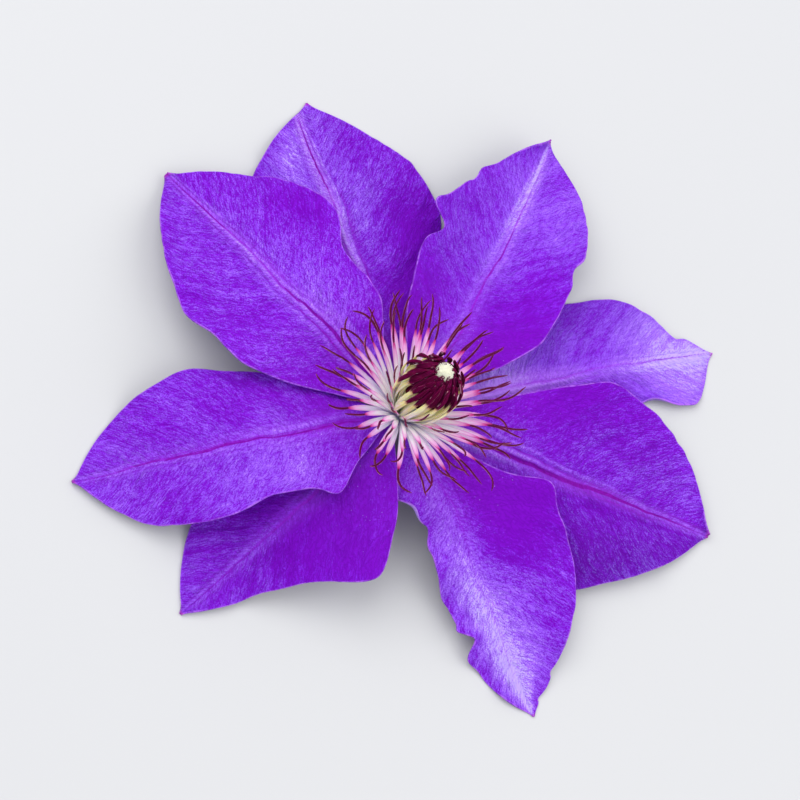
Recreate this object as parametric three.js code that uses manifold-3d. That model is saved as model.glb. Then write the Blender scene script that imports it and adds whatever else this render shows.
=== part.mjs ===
// A large-flowered clematis flower, picked with a short stalk and laid face up.
// Millimetres, +Z up. The origin is on the surface, under the middle of the flower's box.
// Its face leans a little to the right and away, as a picked flower comes to lie on its
// drooping tepals and its bent stalk.

import * as THREE from 'three';
import { mergeVertices } from 'three/addons/utils/BufferGeometryUtils.js';
import Module from 'manifold-3d';

// Where the flower lies
const HEART = new THREE.Vector3(-4.49, -6.36, 14);  // where the tepals and stamens meet
const FACE_LEAN = 15;        // the stamen boss, degrees off upright
const FACE_AZIMUTH = 45;     // the way it leans

// Tepals
const BLADE = 0.6;            // thickness
const CLAW_START = 3.4;       // a blade begins this far from the heart
const CLAW_HALF = 0.8;        // half its width there
const TIP_HALF = 0.7;         // half its width at the tip
const STATIONS = [0, 0.12, 0.26, 0.42, 0.58, 0.74, 0.88, 1];  // shares of the length with a width
const ROWS = 20;
const COLUMNS = 10;

// Receptacle disc and stalk
const DISC_RADIUS = 3;
const DISC_TOP = 0.8;         // over the heart, along the boss axis
const DISC_UNDER = -1.2;
const STALK_RADIUS = 1.25;
const STALK_BEND = 11;        // radius of its bend on to the surface
const STALK_REACH = 50;       // how far out its cut end lies, opposite the face's lean
const STALK_SWAY = 5;         // how far the cut end lies aside

// Stamens and pistil, in the boss's own frame with +Z along its axis
const SEAT = 0.3;             // clearance between pieces that stand on one another
const FOOT = DISC_TOP + SEAT; // where what stands on the disc begins
const COLLAR = { inner: 2.3, outer: 2.9, top: 2.8 };
const OUTER_RINGS = [
  { count: 17, rootHeight: 1.6, reach: 28, leave: 44, arrive: 82 },
  { count: 15, rootHeight: 2, reach: 27, leave: 40, arrive: 68 },
  { count: 12, rootHeight: 2.4, reach: 25.5, leave: 36, arrive: 52 },
];
const FILAMENT = { width: 1.5, thickness: 0.6 };
const ANTHER = { width: 0.9, thickness: 0.7 };
const DOME_BORE = { foot: 1.4, top: 2.45 };
const DOME_PROFILE = [
  [1.95, 1.1], [2, 3.2], [3, 5.6], [4.2, 9], [5.1, 13], [5.5, 16.5], [4.8, 20.5], [3.1, 23.2],
];
const DOME_RIBS = 20;
const COLUMN_RADIUS = { foot: 1, top: 2 };
const TUFT = { height: 24.6, radius: 2, spikes: 18 };

// Each tepal: the way it points, its length, its sideways bend near the tip, how far its base
// sits over or under the disc's middle, the slope it leaves with, its tip's height and slope,
// and its two sides, left being the anticlockwise one. A side has half-widths at the inner
// stations, how far its margin is raised, a wave [height, count, start] and nicks in the
// margin [share of the length, reach, depth], with a bulge as a positive depth.
const TEPALS = {
  A: {
    azimuth: 102.2, length: 83, bend: 0, seat: -0.45, lift: 0.03, tipHeight: 0, tipSlope: -0.05,
    left: { widths: [6.5, 15, 21, 23, 20, 12], rise: -1.5, wave: [1.2, 2.5, 0.1], nicks: [] },
    right: { widths: [6.5, 16, 22, 25.7, 22.3, 12.5], rise: -2.2, wave: [1.2, 2.5, 0.4], nicks: [] },
  },
  B: {
    azimuth: 58.5, length: 83, bend: 2, seat: 0.45, lift: 0.25, tipHeight: 8, tipSlope: 0.12,
    left: {
      widths: [6, 12, 15.3, 16.6, 13.5, 7.5], rise: 3.2, wave: [1.7, 3, 0.35],
      nicks: [[0.55, 0.036, -3.4], [0.6, 0.035, 2.2]],
    },
    right: {
      widths: [6, 15, 20.8, 21.4, 20, 14], rise: 2.5, wave: [1.5, 2.2, 0.6],
      nicks: [[0.665, 0.03, -1.6]],
    },
  },
  C: {
    azimuth: 18.5, length: 86, bend: -6, seat: -0.45, lift: 0.04, tipHeight: 0.6, tipSlope: 0,
    left: {
      widths: [6, 11.5, 16, 18.4, 17, 8.5], rise: -1, wave: [1.9, 2.5, 0.2],
      nicks: [[0.895, 0.028, -2.5]],
    },
    right: { widths: [5, 9, 10, 9, 10.5, 12.5], rise: -3.2, wave: [2, 2, 0.6], nicks: [] },
  },
  D: {
    azimuth: -17.2, length: 83, bend: 0, seat: 0.45, lift: 0.1, tipHeight: 1, tipSlope: -0.1,
    left: { widths: [6.5, 13.5, 20.5, 26, 23.6, 16], rise: 3, wave: [1.2, 2, 0.2], nicks: [] },
    right: { widths: [6.5, 15, 21.5, 24.5, 18.8, 11], rise: -2, wave: [1.2, 2, 0.6], nicks: [] },
  },
  E: {
    azimuth: -61.5, length: 76, bend: -3, seat: 0, lift: 0.1, tipHeight: -0.3, tipSlope: -0.08,
    left: {
      widths: [6, 14, 23, 23.3, 19.6, 10.5], rise: 3.5, wave: [1.2, 2.5, 0.2],
      nicks: [[0.36, 0.05, 2.5]],
    },
    right: {
      widths: [8.5, 9.2, 9, 9.4, 8.5, 6], rise: -1.5, wave: [1.6, 4, 0.6],
      nicks: [[0.175, 0.04, 2.2], [0.31, 0.035, -2.6], [0.69, 0.025, -2.2]],
    },
  },
  F: {
    azimuth: -138, length: 67, bend: 0, seat: -0.45, lift: 0.08, tipHeight: -0.4, tipSlope: -0.2,
    left: { widths: [9.5, 18.5, 24, 16, 9, 5], rise: 0.5, wave: [1.2, 2, 0.2], nicks: [] },
    right: { widths: [6, 12, 16, 17, 14, 8], rise: -2.5, wave: [1.2, 2.5, 0.6], nicks: [] },
  },
  G: {
    azimuth: 191, length: 76, bend: 0, seat: 0.45, lift: 0.2, tipHeight: -0.4, tipSlope: -0.2,
    left: {
      widths: [8.5, 14, 14, 16.5, 15, 9], rise: 2.8, wave: [1.7, 2, 0.2],
      nicks: [[0.22, 0.05, 3]],
    },
    right: { widths: [6, 12, 17, 20, 17, 10], rise: -3.4, wave: [1.2, 2.5, 0.6], nicks: [] },
  },
  H: {
    azimuth: 131, length: 80, bend: 0, seat: 0.45, lift: 0.25, tipHeight: 2.5, tipSlope: -0.2,
    left: { widths: [9, 17, 22, 22, 18, 11], rise: 2.8, wave: [1.4, 2.5, 0.2], nicks: [] },
    right: {
      widths: [5.5, 13.5, 17, 22.2, 19, 11], rise: 2.5, wave: [1.2, 2.5, 0.6],
      nicks: [[0.46, 0.05, -1.5]],
    },
  },
};

// Colours, roughness and metalness of the materials
const VIOLET = [0x7a35c8, 0.55];
const STALK_GREEN = [0x6d7a44, 0.6];
const CREAM = [0xe3cfe0, 0.6];
const MAROON = [0x4a1030, 0.55];
const STIGMA = [0xf0eccb, 0.7];

const wasm = await Module();
wasm.setup();

const CONE_AXIS = new THREE.Vector3(0, 1, 0);
const radians = THREE.MathUtils.degToRad;
const clamp = THREE.MathUtils.clamp;
const lerp = THREE.MathUtils.lerp;

// Repeatable random numbers from 0 to 1.
function seededRandom(seed) {
  let state = seed;
  return () => {
    state = (state + 0x6d2b79f5) | 0;
    let mixed = Math.imul(state ^ (state >>> 15), 1 | state);
    mixed = (mixed + Math.imul(mixed ^ (mixed >>> 7), 61 | mixed)) ^ mixed;
    return ((mixed ^ (mixed >>> 14)) >>> 0) / 4294967296;
  };
}

// A smooth curve through values at stations that never overshoots them.
function smoothThrough(stations, values) {
  const slopes = values.slice(1).map((value, i) => (value - values[i]) / (stations[i + 1] - stations[i]));
  const tangents = values.map((_, i) => {
    if (i === 0) return slopes[0];
    if (i === slopes.length) return slopes[i - 1];
    const product = slopes[i - 1] * slopes[i];
    return product <= 0 ? 0 : (2 * product) / (slopes[i - 1] + slopes[i]);
  });
  return (x) => {
    const i = clamp(stations.findIndex((station) => station > x) - 1, 0, slopes.length - 1);
    const index = x >= stations.at(-1) ? slopes.length - 1 : i;
    const span = stations[index + 1] - stations[index];
    const t = (x - stations[index]) / span;
    return values[index] * (1 + 2 * t) * (1 - t) ** 2
      + tangents[index] * span * t * (1 - t) ** 2
      + values[index + 1] * t * t * (3 - 2 * t)
      + tangents[index + 1] * span * t * t * (t - 1);
  };
}

// The middle surface of a tepal at a share of its length and v from -1 (right margin) to 1.
function tepalSurface(tepal) {
  const azimuth = radians(tepal.azimuth);
  const along = new THREE.Vector2(Math.cos(azimuth), Math.sin(azimuth));
  const across = new THREE.Vector2(-along.y, along.x);
  const span = tepal.length - CLAW_START;
  const fall = Math.tan(radians(FACE_LEAN)) * Math.cos(radians(tepal.azimuth - FACE_AZIMUTH));
  const baseHeight = HEART.z + tepal.seat - fall * CLAW_START;
  const widthOf = (side) => smoothThrough(STATIONS, [CLAW_HALF, ...side.widths, TIP_HALF]);
  const leftWidth = widthOf(tepal.left);
  const rightWidth = widthOf(tepal.right);

  return (share, v) => {
    const side = v > 0 ? tepal.left : tepal.right;
    const nicked = side.nicks.reduce(
      (sum, [centre, reach, depth]) => sum + depth * Math.exp(-(((share - centre) / reach) ** 2)), 0);
    const width = (v > 0 ? leftWidth : rightWidth)(share) + nicked;
    const sideways = tepal.bend * share ** 2.5 + v * width;
    const out = CLAW_START + share * span;

    const rest = 1 - share;
    const ridge = (1 + 2 * share) * rest ** 2 * baseHeight
      + share * rest ** 2 * (tepal.lift - fall) * span
      + share ** 2 * (3 - 2 * share) * tepal.tipHeight
      + share ** 2 * (share - 1) * tepal.tipSlope * span;
    const broad = Math.sin(Math.PI * share ** 0.8) ** 0.8 || 0;
    const [waveHeight, waveCount, waveStart] = side.wave;
    const wave = waveHeight * Math.sin(2 * Math.PI * (waveCount * share + waveStart));
    const margin = Math.abs(v);
    const height = ridge + side.rise * margin ** 1.6 * broad
      + wave * margin ** 2.5 * clamp(3 * share, 0, 1) ** 2;

    return new THREE.Vector3(
      HEART.x + along.x * out + across.x * sideways,
      HEART.y + along.y * out + across.y * sideways,
      height);
  };
}

// Rows of a tepal: even ones, and one on each nick of its margin.
function tepalRows(tepal) {
  const nicks = [...tepal.left.nicks, ...tepal.right.nicks].map(([centre]) => centre);
  const even = Array.from({ length: ROWS + 1 }, (_, i) => i / ROWS);
  const kept = even.filter((share) => nicks.every((nick) => Math.abs(share - nick) > 0.4 / ROWS));
  return [...kept, ...nicks].sort((a, b) => a - b);
}

// A blade of even thickness about the tepal's middle surface, never lower than the ground.
function tepalGeometry(tepal) {
  const surface = tepalSurface(tepal);
  const rows = tepalRows(tepal);
  const step = 0.002;
  const upper = [];
  const lower = [];
  for (const share of rows) {
    for (let column = 0; column <= COLUMNS; column += 1) {
      const v = (2 * column) / COLUMNS - 1;
      const middle = surface(share, v);
      const ahead = surface(Math.min(share + step, 1), v).sub(surface(Math.max(share - step, 0), v));
      const aside = surface(share, Math.min(v + step, 1)).sub(surface(share, Math.max(v - step, -1)));
      const normal = ahead.cross(aside).normalize();
      const top = middle.clone().addScaledVector(normal, BLADE / 2);
      const bottom = middle.clone().addScaledVector(normal, -BLADE / 2);
      top.z = Math.max(top.z, BLADE);
      bottom.z = Math.max(bottom.z, 0);
      upper.push(top);
      lower.push(bottom);
    }
  }
  return bladeGeometry(upper, lower, rows.length, COLUMNS + 1);
}

// Closes two grids of points, one over the other, into one solid.
function bladeGeometry(upper, lower, rowCount, columnCount) {
  const points = [...upper, ...lower];
  const under = upper.length;
  const at = (row, column) => row * columnCount + column;
  const triangles = [];
  for (let row = 0; row < rowCount - 1; row += 1) {
    for (let column = 0; column < columnCount - 1; column += 1) {
      const [a, b] = [at(row, column), at(row + 1, column)];
      const [c, d] = [at(row + 1, column + 1), at(row, column + 1)];
      triangles.push([a, b, c], [a, c, d]);
      triangles.push([under + a, under + c, under + b], [under + a, under + d, under + c]);
    }
  }
  const rim = [];
  for (let row = 0; row < rowCount; row += 1) rim.push(at(row, 0));
  for (let column = 1; column < columnCount; column += 1) rim.push(at(rowCount - 1, column));
  for (let row = rowCount - 2; row >= 0; row -= 1) rim.push(at(row, columnCount - 1));
  for (let column = columnCount - 2; column >= 1; column -= 1) rim.push(at(0, column));
  rim.forEach((here, i) => {
    const next = rim[(i + 1) % rim.length];
    triangles.push([here, under + here, under + next], [here, under + next, next]);
  });
  return indexedGeometry(points, triangles);
}

function indexedGeometry(points, triangles) {
  const geometry = new THREE.BufferGeometry();
  const positions = points.flatMap((point) => [point.x, point.y, point.z]);
  geometry.setAttribute('position', new THREE.Float32BufferAttribute(positions, 3));
  geometry.setIndex(triangles.flat());
  geometry.computeVertexNormals();
  return geometry;
}

// A solid swept through stations, each a centre, two axes and the section's half sizes.
function sweepGeometry(stations, sides, turn = 0) {
  const points = [];
  for (const { centre, wide, deep, halfWidth, halfDepth } of stations) {
    for (let side = 0; side < sides; side += 1) {
      const angle = (2 * Math.PI * (side + turn)) / sides;
      points.push(centre.clone()
        .addScaledVector(wide, halfWidth * Math.cos(angle))
        .addScaledVector(deep, halfDepth * Math.sin(angle)));
    }
  }
  const triangles = [];
  for (let ring = 0; ring < stations.length - 1; ring += 1) {
    for (let side = 0; side < sides; side += 1) {
      const next = (side + 1) % sides;
      const [a, b] = [ring * sides + side, ring * sides + next];
      const [c, d] = [b + sides, a + sides];
      triangles.push([a, b, c], [a, c, d]);
    }
  }
  const last = (stations.length - 1) * sides;
  for (let side = 1; side < sides - 1; side += 1) {
    triangles.push([0, side + 1, side], [last, last + side, last + side + 1]);
  }
  return indexedGeometry(points, triangles);
}

function solidOf(geometry) {
  const bare = geometry.clone();
  bare.deleteAttribute('normal');
  bare.deleteAttribute('uv');
  const merged = mergeVertices(bare, 1e-5);
  const index = merged.index.array;
  const triangles = [];
  for (let i = 0; i < index.length; i += 3) {
    const [a, b, c] = index.slice(i, i + 3);
    if (a !== b && b !== c && c !== a) triangles.push(a, b, c);
  }
  return new wasm.Manifold(new wasm.Mesh({
    numProp: 3,
    vertProperties: new Float32Array(merged.attributes.position.array),
    triVerts: new Uint32Array(triangles),
  }));
}

function geometryOf(solid) {
  const { vertProperties, triVerts } = solid.getMesh();
  const geometry = new THREE.BufferGeometry();
  geometry.setAttribute('position', new THREE.BufferAttribute(vertProperties, 3));
  geometry.setIndex(new THREE.BufferAttribute(triVerts, 1));
  geometry.computeVertexNormals();
  return geometry;
}

function fuse(geometries) {
  const solids = geometries.map(solidOf);
  return geometryOf(solids.reduce((whole, solid) => whole.add(solid)));
}

// A lathe about +Z from a closed or axis-to-axis profile of [radius, height] points.
function latheGeometry(profile, sides) {
  const points = profile.map(([radius, height]) => new THREE.Vector2(radius, height));
  return new THREE.LatheGeometry(points, sides).rotateX(Math.PI / 2);
}

// A point of the boss's frame at a radius, height and azimuth in radians.
function polar(radius, azimuth, height) {
  return new THREE.Vector3(radius * Math.cos(azimuth), radius * Math.sin(azimuth), height);
}

// The arc of one outer stamen: it leaves the collar steeply and bows outward, with its anther's
// end swayed aside. Angles are from the boss axis.
function outerStamen({ azimuth, rootHeight, reach, leave, arrive, sway }) {
  const shares = [0, 0.25, 0.5, 0.64, 0.82, 1];
  const root = { radius: (COLLAR.inner + COLLAR.outer) / 2, height: rootHeight };
  const turning = radians(arrive - leave);
  const arcRadius = reach / turning;
  const stations = shares.map((share) => {
    const angle = radians(leave) + turning * share;
    const radius = root.radius + arcRadius * (Math.cos(radians(leave)) - Math.cos(angle));
    const height = root.height + arcRadius * (Math.sin(angle) - Math.sin(radians(leave)));
    const turned = azimuth + (sway * share ** 3) / radius;
    const anther = clamp((share - 0.5) / 0.14, 0, 1);
    const narrow = share === 0 ? 0.5 : share === 1 ? 0.6 : 1;
    return {
      centre: polar(radius, turned, height),
      wide: polar(1, turned + Math.PI / 2, 0),
      deep: polar(-Math.cos(angle), turned, Math.sin(angle)),
      halfWidth: (narrow * lerp(FILAMENT.width, ANTHER.width, anther)) / 2,
      halfDepth: (narrow * lerp(FILAMENT.thickness, ANTHER.thickness, anther)) / 2,
    };
  });
  return sweepGeometry(stations.map(squared), 4, 0.5);
}

// Half sizes of a rectangle given as the corner distances of a four-sided section.
function squared(station) {
  const corner = Math.SQRT2;
  return { ...station, halfWidth: station.halfWidth * corner, halfDepth: station.halfDepth * corner };
}

function outerStamensGeometry() {
  const random = seededRandom(11);
  const collar = latheGeometry([
    [COLLAR.inner, FOOT], [COLLAR.outer, FOOT], [COLLAR.outer, COLLAR.top - 0.5],
    [COLLAR.inner + 0.4, COLLAR.top], [COLLAR.inner, FOOT],
  ], 24);
  const stamens = OUTER_RINGS.flatMap((ring, ringIndex) => (
    Array.from({ length: ring.count }, (_, i) => outerStamen({
      azimuth: (2 * Math.PI * (i + 0.33 * ringIndex + 0.3 * random())) / ring.count,
      rootHeight: ring.rootHeight,
      reach: ring.reach * (0.92 + 0.12 * random()),
      leave: ring.leave,
      arrive: ring.arrive + 10 * (random() - 0.5),
      sway: 5 * (random() - 0.5),
    }))));
  return fuse([collar, ...stamens]);
}

// The unopened stamens: broad anthers bent in over a core that the pistil passes through.
function innerStamensGeometry() {
  const random = seededRandom(5);
  const domeTop = DOME_PROFILE.at(-1)[1];
  const core = latheGeometry([
    [DOME_BORE.foot, FOOT], ...DOME_PROFILE, [DOME_BORE.top, domeTop], [DOME_BORE.foot, FOOT],
  ], 14);
  const radiusAt = smoothThrough(
    DOME_PROFILE.map(([, height]) => height),
    DOME_PROFILE.map(([radius]) => radius));
  const ribs = Array.from({ length: DOME_RIBS }, (_, i) => {
    const azimuth = (2 * Math.PI * (i + 0.3 * random())) / DOME_RIBS;
    const top = domeTop + 1.6 * random();
    const shares = [0.04, 0.2, 0.4, 0.6, 0.8, 1];
    const stations = shares.map((share) => {
      const height = lerp(FOOT, top, share);
      const anther = clamp((share - 0.1) / 0.3, 0, 1);
      const radius = radiusAt(Math.min(height, domeTop)) + lerp(-0.3, 0.35, anther);
      const turned = azimuth + 0.35 * share ** 2;
      return {
        centre: polar(radius, turned, height),
        wide: polar(1, turned + Math.PI / 2, 0),
        deep: polar(-1, turned, 0),
        halfWidth: lerp(0.4, share === 1 ? 0.4 : 0.85, anther),
        halfDepth: share === 1 ? 0.4 : lerp(0.3, 0.75, anther),
      };
    });
    return sweepGeometry(stations.map(squared), 4, 0.5);
  });
  return fuse([core, ...ribs]);
}

// The column of carpels with the tuft of styles on top.
function pistilGeometry() {
  const column = latheGeometry([
    [0, FOOT], [COLUMN_RADIUS.foot, FOOT], [COLUMN_RADIUS.top, TUFT.height - 1.5],
    [COLUMN_RADIUS.top * 0.85, TUFT.height + 0.7], [COLUMN_RADIUS.top * 0.4, TUFT.height + 1.4],
    [0, TUFT.height + 1.5],
  ], 12);
  const golden = Math.PI * (3 - Math.sqrt(5));
  const spikes = Array.from({ length: TUFT.spikes }, (_, i) => {
    const upright = 1 - (i + 0.5) / TUFT.spikes;
    const direction = polar(Math.sqrt(1 - upright ** 2), golden * i, upright);
    const spike = new THREE.ConeGeometry(0.42, 1.5, 4);
    spike.translate(0, 0.75, 0);
    spike.applyQuaternion(new THREE.Quaternion().setFromUnitVectors(CONE_AXIS, direction));
    const root = polar(0, 0, TUFT.height).addScaledVector(direction, TUFT.radius - 0.95);
    return spike.translate(root.x, root.y, root.z);
  });
  return fuse([column, ...spikes]);
}

// The receptacle, flared from the stalk to the disc, in the boss's frame.
function receptacleGeometry() {
  return latheGeometry([
    [0, -4.6], [STALK_RADIUS, -4.4], [STALK_RADIUS * 1.2, -3.2], [DISC_RADIUS * 0.8, -2],
    [DISC_RADIUS, DISC_UNDER], [DISC_RADIUS, DISC_TOP - 0.3], [DISC_RADIUS - 0.3, DISC_TOP],
    [0, DISC_TOP],
  ], 20);
}

// The stalk: straight down from the receptacle, bent over, then lying on the surface.
function stalkGeometry() {
  const away = radians(FACE_AZIMUTH + 180);
  const outward = new THREE.Vector3(Math.cos(away), Math.sin(away), 0);
  const aside = new THREE.Vector3(-outward.y, outward.x, 0);
  const steep = radians(90 - FACE_LEAN);
  const lying = STALK_RADIUS * Math.cos(Math.PI / 8);
  const start = { out: 2.5 * Math.cos(steep), height: HEART.z - 2.5 * Math.sin(steep) };
  const bendDrop = STALK_BEND * (1 - Math.cos(steep));
  const straight = (start.height - lying - bendDrop) / Math.sin(steep);
  const bendStart = start.out + straight * Math.cos(steep);
  const bendEnd = bendStart + STALK_BEND * Math.sin(steep);

  const course = [{ ...start, dip: steep }];
  for (let i = 0; i <= 4; i += 1) {
    const dip = steep * (1 - i / 4);
    course.push({
      out: bendEnd - STALK_BEND * Math.sin(dip),
      height: lying + STALK_BEND * (1 - Math.cos(dip)),
      dip,
    });
  }
  for (const share of [0.25, 0.5, 0.75, 1]) {
    course.push({ out: lerp(bendEnd, STALK_REACH, share), height: lying, dip: 0 });
  }
  const stations = course.map(({ out, height, dip }) => {
    const swayed = STALK_SWAY * (out / STALK_REACH) ** 2;
    const yaw = (2 * STALK_SWAY * out) / STALK_REACH ** 2;
    const wide = aside.clone().addScaledVector(outward, -yaw).normalize();
    return {
      centre: new THREE.Vector3(HEART.x, HEART.y, height)
        .addScaledVector(outward, out)
        .addScaledVector(aside, swayed),
      wide,
      deep: new THREE.Vector3(0, 0, Math.cos(dip)).addScaledVector(outward, Math.sin(dip)),
      halfWidth: STALK_RADIUS,
      halfDepth: STALK_RADIUS,
    };
  });
  return sweepGeometry(stations, 8, 0.5);
}

function material([color, roughness]) {
  return new THREE.MeshStandardMaterial({ color, roughness, metalness: 0, side: THREE.FrontSide });
}

function piece(name, geometry, look) {
  const mesh = new THREE.Mesh(geometry, material(look));
  mesh.name = name;
  return mesh;
}

// The boss's frame: at the heart, with +Z along the stamens' axis.
const boss = new THREE.Group();
const faceLean = radians(FACE_LEAN);
const faceAzimuth = radians(FACE_AZIMUTH);
const faceAxis = polar(Math.sin(faceLean), faceAzimuth, Math.cos(faceLean));
boss.position.copy(HEART);
boss.quaternion.setFromUnitVectors(new THREE.Vector3(0, 0, 1), faceAxis);
boss.updateMatrix();
boss.add(piece('stamens_outer', outerStamensGeometry(), CREAM));
boss.add(piece('stamens_inner', innerStamensGeometry(), MAROON));
boss.add(piece('pistil', pistilGeometry(), STIGMA));

const flower = new THREE.Group();
const receptacle = receptacleGeometry().applyMatrix4(boss.matrix);
flower.add(piece('stem', fuse([receptacle, stalkGeometry()]), STALK_GREEN));
for (const [letter, tepal] of Object.entries(TEPALS)) {
  flower.add(piece(`tepal_${letter}`, tepalGeometry(tepal), VIOLET));
}
flower.add(boss);

export default flower;
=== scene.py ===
# %% [markdown]
# # A clematis flower, laid face up
# The real flower has eight broad, velvety tepals on a small disc, a wide brush of pink and
# white stamens, a dome of dark unopened stamens in the middle, and a pale tuft of styles at
# the very top. A short stalk, bent under it, lies on the table. The frame that is loaded here
# holds each of those pieces at its real size, with few faces. This lesson gives every one of
# them its fine form and its finish, piece by piece, and leaves all of them where they are.

import math
import random

import bmesh
import bpy
from mathutils import Matrix, Vector, noise


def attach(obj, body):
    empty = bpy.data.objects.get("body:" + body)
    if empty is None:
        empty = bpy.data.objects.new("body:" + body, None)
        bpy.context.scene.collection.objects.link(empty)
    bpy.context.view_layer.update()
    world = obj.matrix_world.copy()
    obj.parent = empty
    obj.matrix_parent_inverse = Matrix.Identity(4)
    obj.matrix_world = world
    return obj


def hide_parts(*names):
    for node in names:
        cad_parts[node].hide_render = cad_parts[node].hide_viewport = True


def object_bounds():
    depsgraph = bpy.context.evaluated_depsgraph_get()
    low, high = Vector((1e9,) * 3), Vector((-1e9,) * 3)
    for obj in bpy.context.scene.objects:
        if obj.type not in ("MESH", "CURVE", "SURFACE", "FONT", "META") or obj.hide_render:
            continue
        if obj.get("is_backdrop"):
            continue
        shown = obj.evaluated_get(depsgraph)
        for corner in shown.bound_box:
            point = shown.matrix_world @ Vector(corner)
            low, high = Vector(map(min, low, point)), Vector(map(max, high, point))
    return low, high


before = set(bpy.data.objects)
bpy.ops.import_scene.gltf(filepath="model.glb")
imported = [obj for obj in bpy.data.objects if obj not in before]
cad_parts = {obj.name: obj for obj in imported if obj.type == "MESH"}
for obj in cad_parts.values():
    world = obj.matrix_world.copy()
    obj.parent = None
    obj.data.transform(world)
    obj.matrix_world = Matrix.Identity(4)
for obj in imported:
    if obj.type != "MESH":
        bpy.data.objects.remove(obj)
cad_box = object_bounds()
MM = 0.001  # every value below is in millimetres, and becomes metres as it enters a mesh
print("pieces to dress:", ", ".join(sorted(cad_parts)))

# %% [markdown]
# ## The camera
# A picked flower lies with its face up, so the camera looks down on it. It stands a little off
# the vertical, on the lower left, because that is how far the stamens' boss leans in the
# photograph. The lens follows from the scale: so many pixels for a millimetre at that distance.
# A long lens from far away keeps the tepals in proportion.

# %% Camera
HEART = Vector((-4.49, -6.36, 14))  # where the tepals and the stamens meet
VIEW_TILT = math.radians(20)
VIEW_DISTANCE = 620
IMAGE_PIXELS = 800
PIXELS_PER_MM = 4.3
HEART_BELOW_MIDDLE = 16 / PIXELS_PER_MM  # the heart shows 16 pixels below the image's middle

turn = Matrix.Rotation(VIEW_TILT, 4, Vector((1, -1, 0)))
camera_data = bpy.data.cameras.new("camera")
camera_data.sensor_width = 36
camera_data.lens = camera_data.sensor_width * VIEW_DISTANCE * PIXELS_PER_MM / IMAGE_PIXELS
camera_data.clip_start = 0.01
camera = bpy.data.objects.new("camera", camera_data)
camera.matrix_world = turn
camera.location = MM * (HEART + turn @ Vector((0, HEART_BELOW_MIDDLE, VIEW_DISTANCE)))
bpy.context.scene.collection.objects.link(camera)
bpy.context.scene.camera = camera
print(f"lens {camera_data.lens:.1f} mm, camera {camera.location.z:.2f} m above the floor")

# %% [markdown]
# ## Floor and light
# The flower lies on a plain pale floor under soft studio light. One large lamp stands beyond
# the top left of the image, so that the tepals shade each other gently towards the lower
# right, and a weaker one on the right keeps those shades open. A pale sky lights the rest.
# The plain view transform is used, because the filmic one greys the flower's violet, which is
# nearly pure in the photograph.

# %% Floor and lamps
FLOOR_HALF = 1500
LAMP_SIZE = 1100
SKY_COLOUR = (0.93, 0.95, 1)
SKY_STRENGTH = 0.8


def link(name, mesh):
    thing = bpy.data.objects.new(name, mesh)
    bpy.context.scene.collection.objects.link(thing)
    return thing


def lamp(name, place, size, power):
    """A square lamp at a place in mm that faces the flower."""
    data = bpy.data.lights.new(name, "AREA")
    data.size = MM * size
    data.energy = power
    thing = link(name, data)
    thing.location = MM * Vector(place)
    thing.rotation_euler = Vector(place).to_track_quat("Z", "Y").to_euler()


bm = bmesh.new()
bmesh.ops.create_grid(bm, x_segments=1, y_segments=1, size=MM * FLOOR_HALF)
floor_mesh = bpy.data.meshes.new("floor")
bm.to_mesh(floor_mesh)
bm.free()
floor = link("floor", floor_mesh)
floor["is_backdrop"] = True

lamp("key_lamp", place=(-440, 450, 950), size=LAMP_SIZE, power=9.4)
lamp("fill_lamp", place=(760, -260, 800), size=LAMP_SIZE, power=6.2)
world = bpy.data.worlds.new("studio")
world.use_nodes = True
sky = world.node_tree.nodes["Background"]
sky.inputs["Color"].default_value = (*SKY_COLOUR, 1)
sky.inputs["Strength"].default_value = SKY_STRENGTH
bpy.context.scene.world = world
bpy.context.scene.view_settings.view_transform = "Standard"
print("floor and two lamps in place")

# %% [markdown]
# ## A short way to write materials
# A petal's colour is a sum of many small things: clouds, veins, nerves, a pale margin. Drawn
# as nodes by hand, such a sum is hard to read. So one small class wraps a socket and takes
# part in ordinary arithmetic, where each sign adds a Math node, and another holds a material
# and adds any other kind of node with a single method.

# %% Wire: a socket that can be calculated with


class Wire:
    """A value that runs through a material. Arithmetic on it adds Math nodes."""

    def __init__(self, finish, socket):
        self.finish = finish
        self.socket = socket

    def math(self, operation, first, second=0.0):
        return self.finish.node("ShaderNodeMath", {"operation": operation}, {0: first, 1: second})

    def __add__(self, other):
        return self.math("ADD", self, other)

    def __radd__(self, other):
        return self.math("ADD", other, self)

    def __sub__(self, other):
        return self.math("SUBTRACT", self, other)

    def __rsub__(self, other):
        return self.math("SUBTRACT", other, self)

    def __mul__(self, other):
        return self.math("MULTIPLY", self, other)

    def __rmul__(self, other):
        return self.math("MULTIPLY", other, self)

    def __abs__(self):
        return self.math("ABSOLUTE", self)


print("a Wire understands +, -, * and abs()")

# %% Finish: a material that is being made


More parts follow.
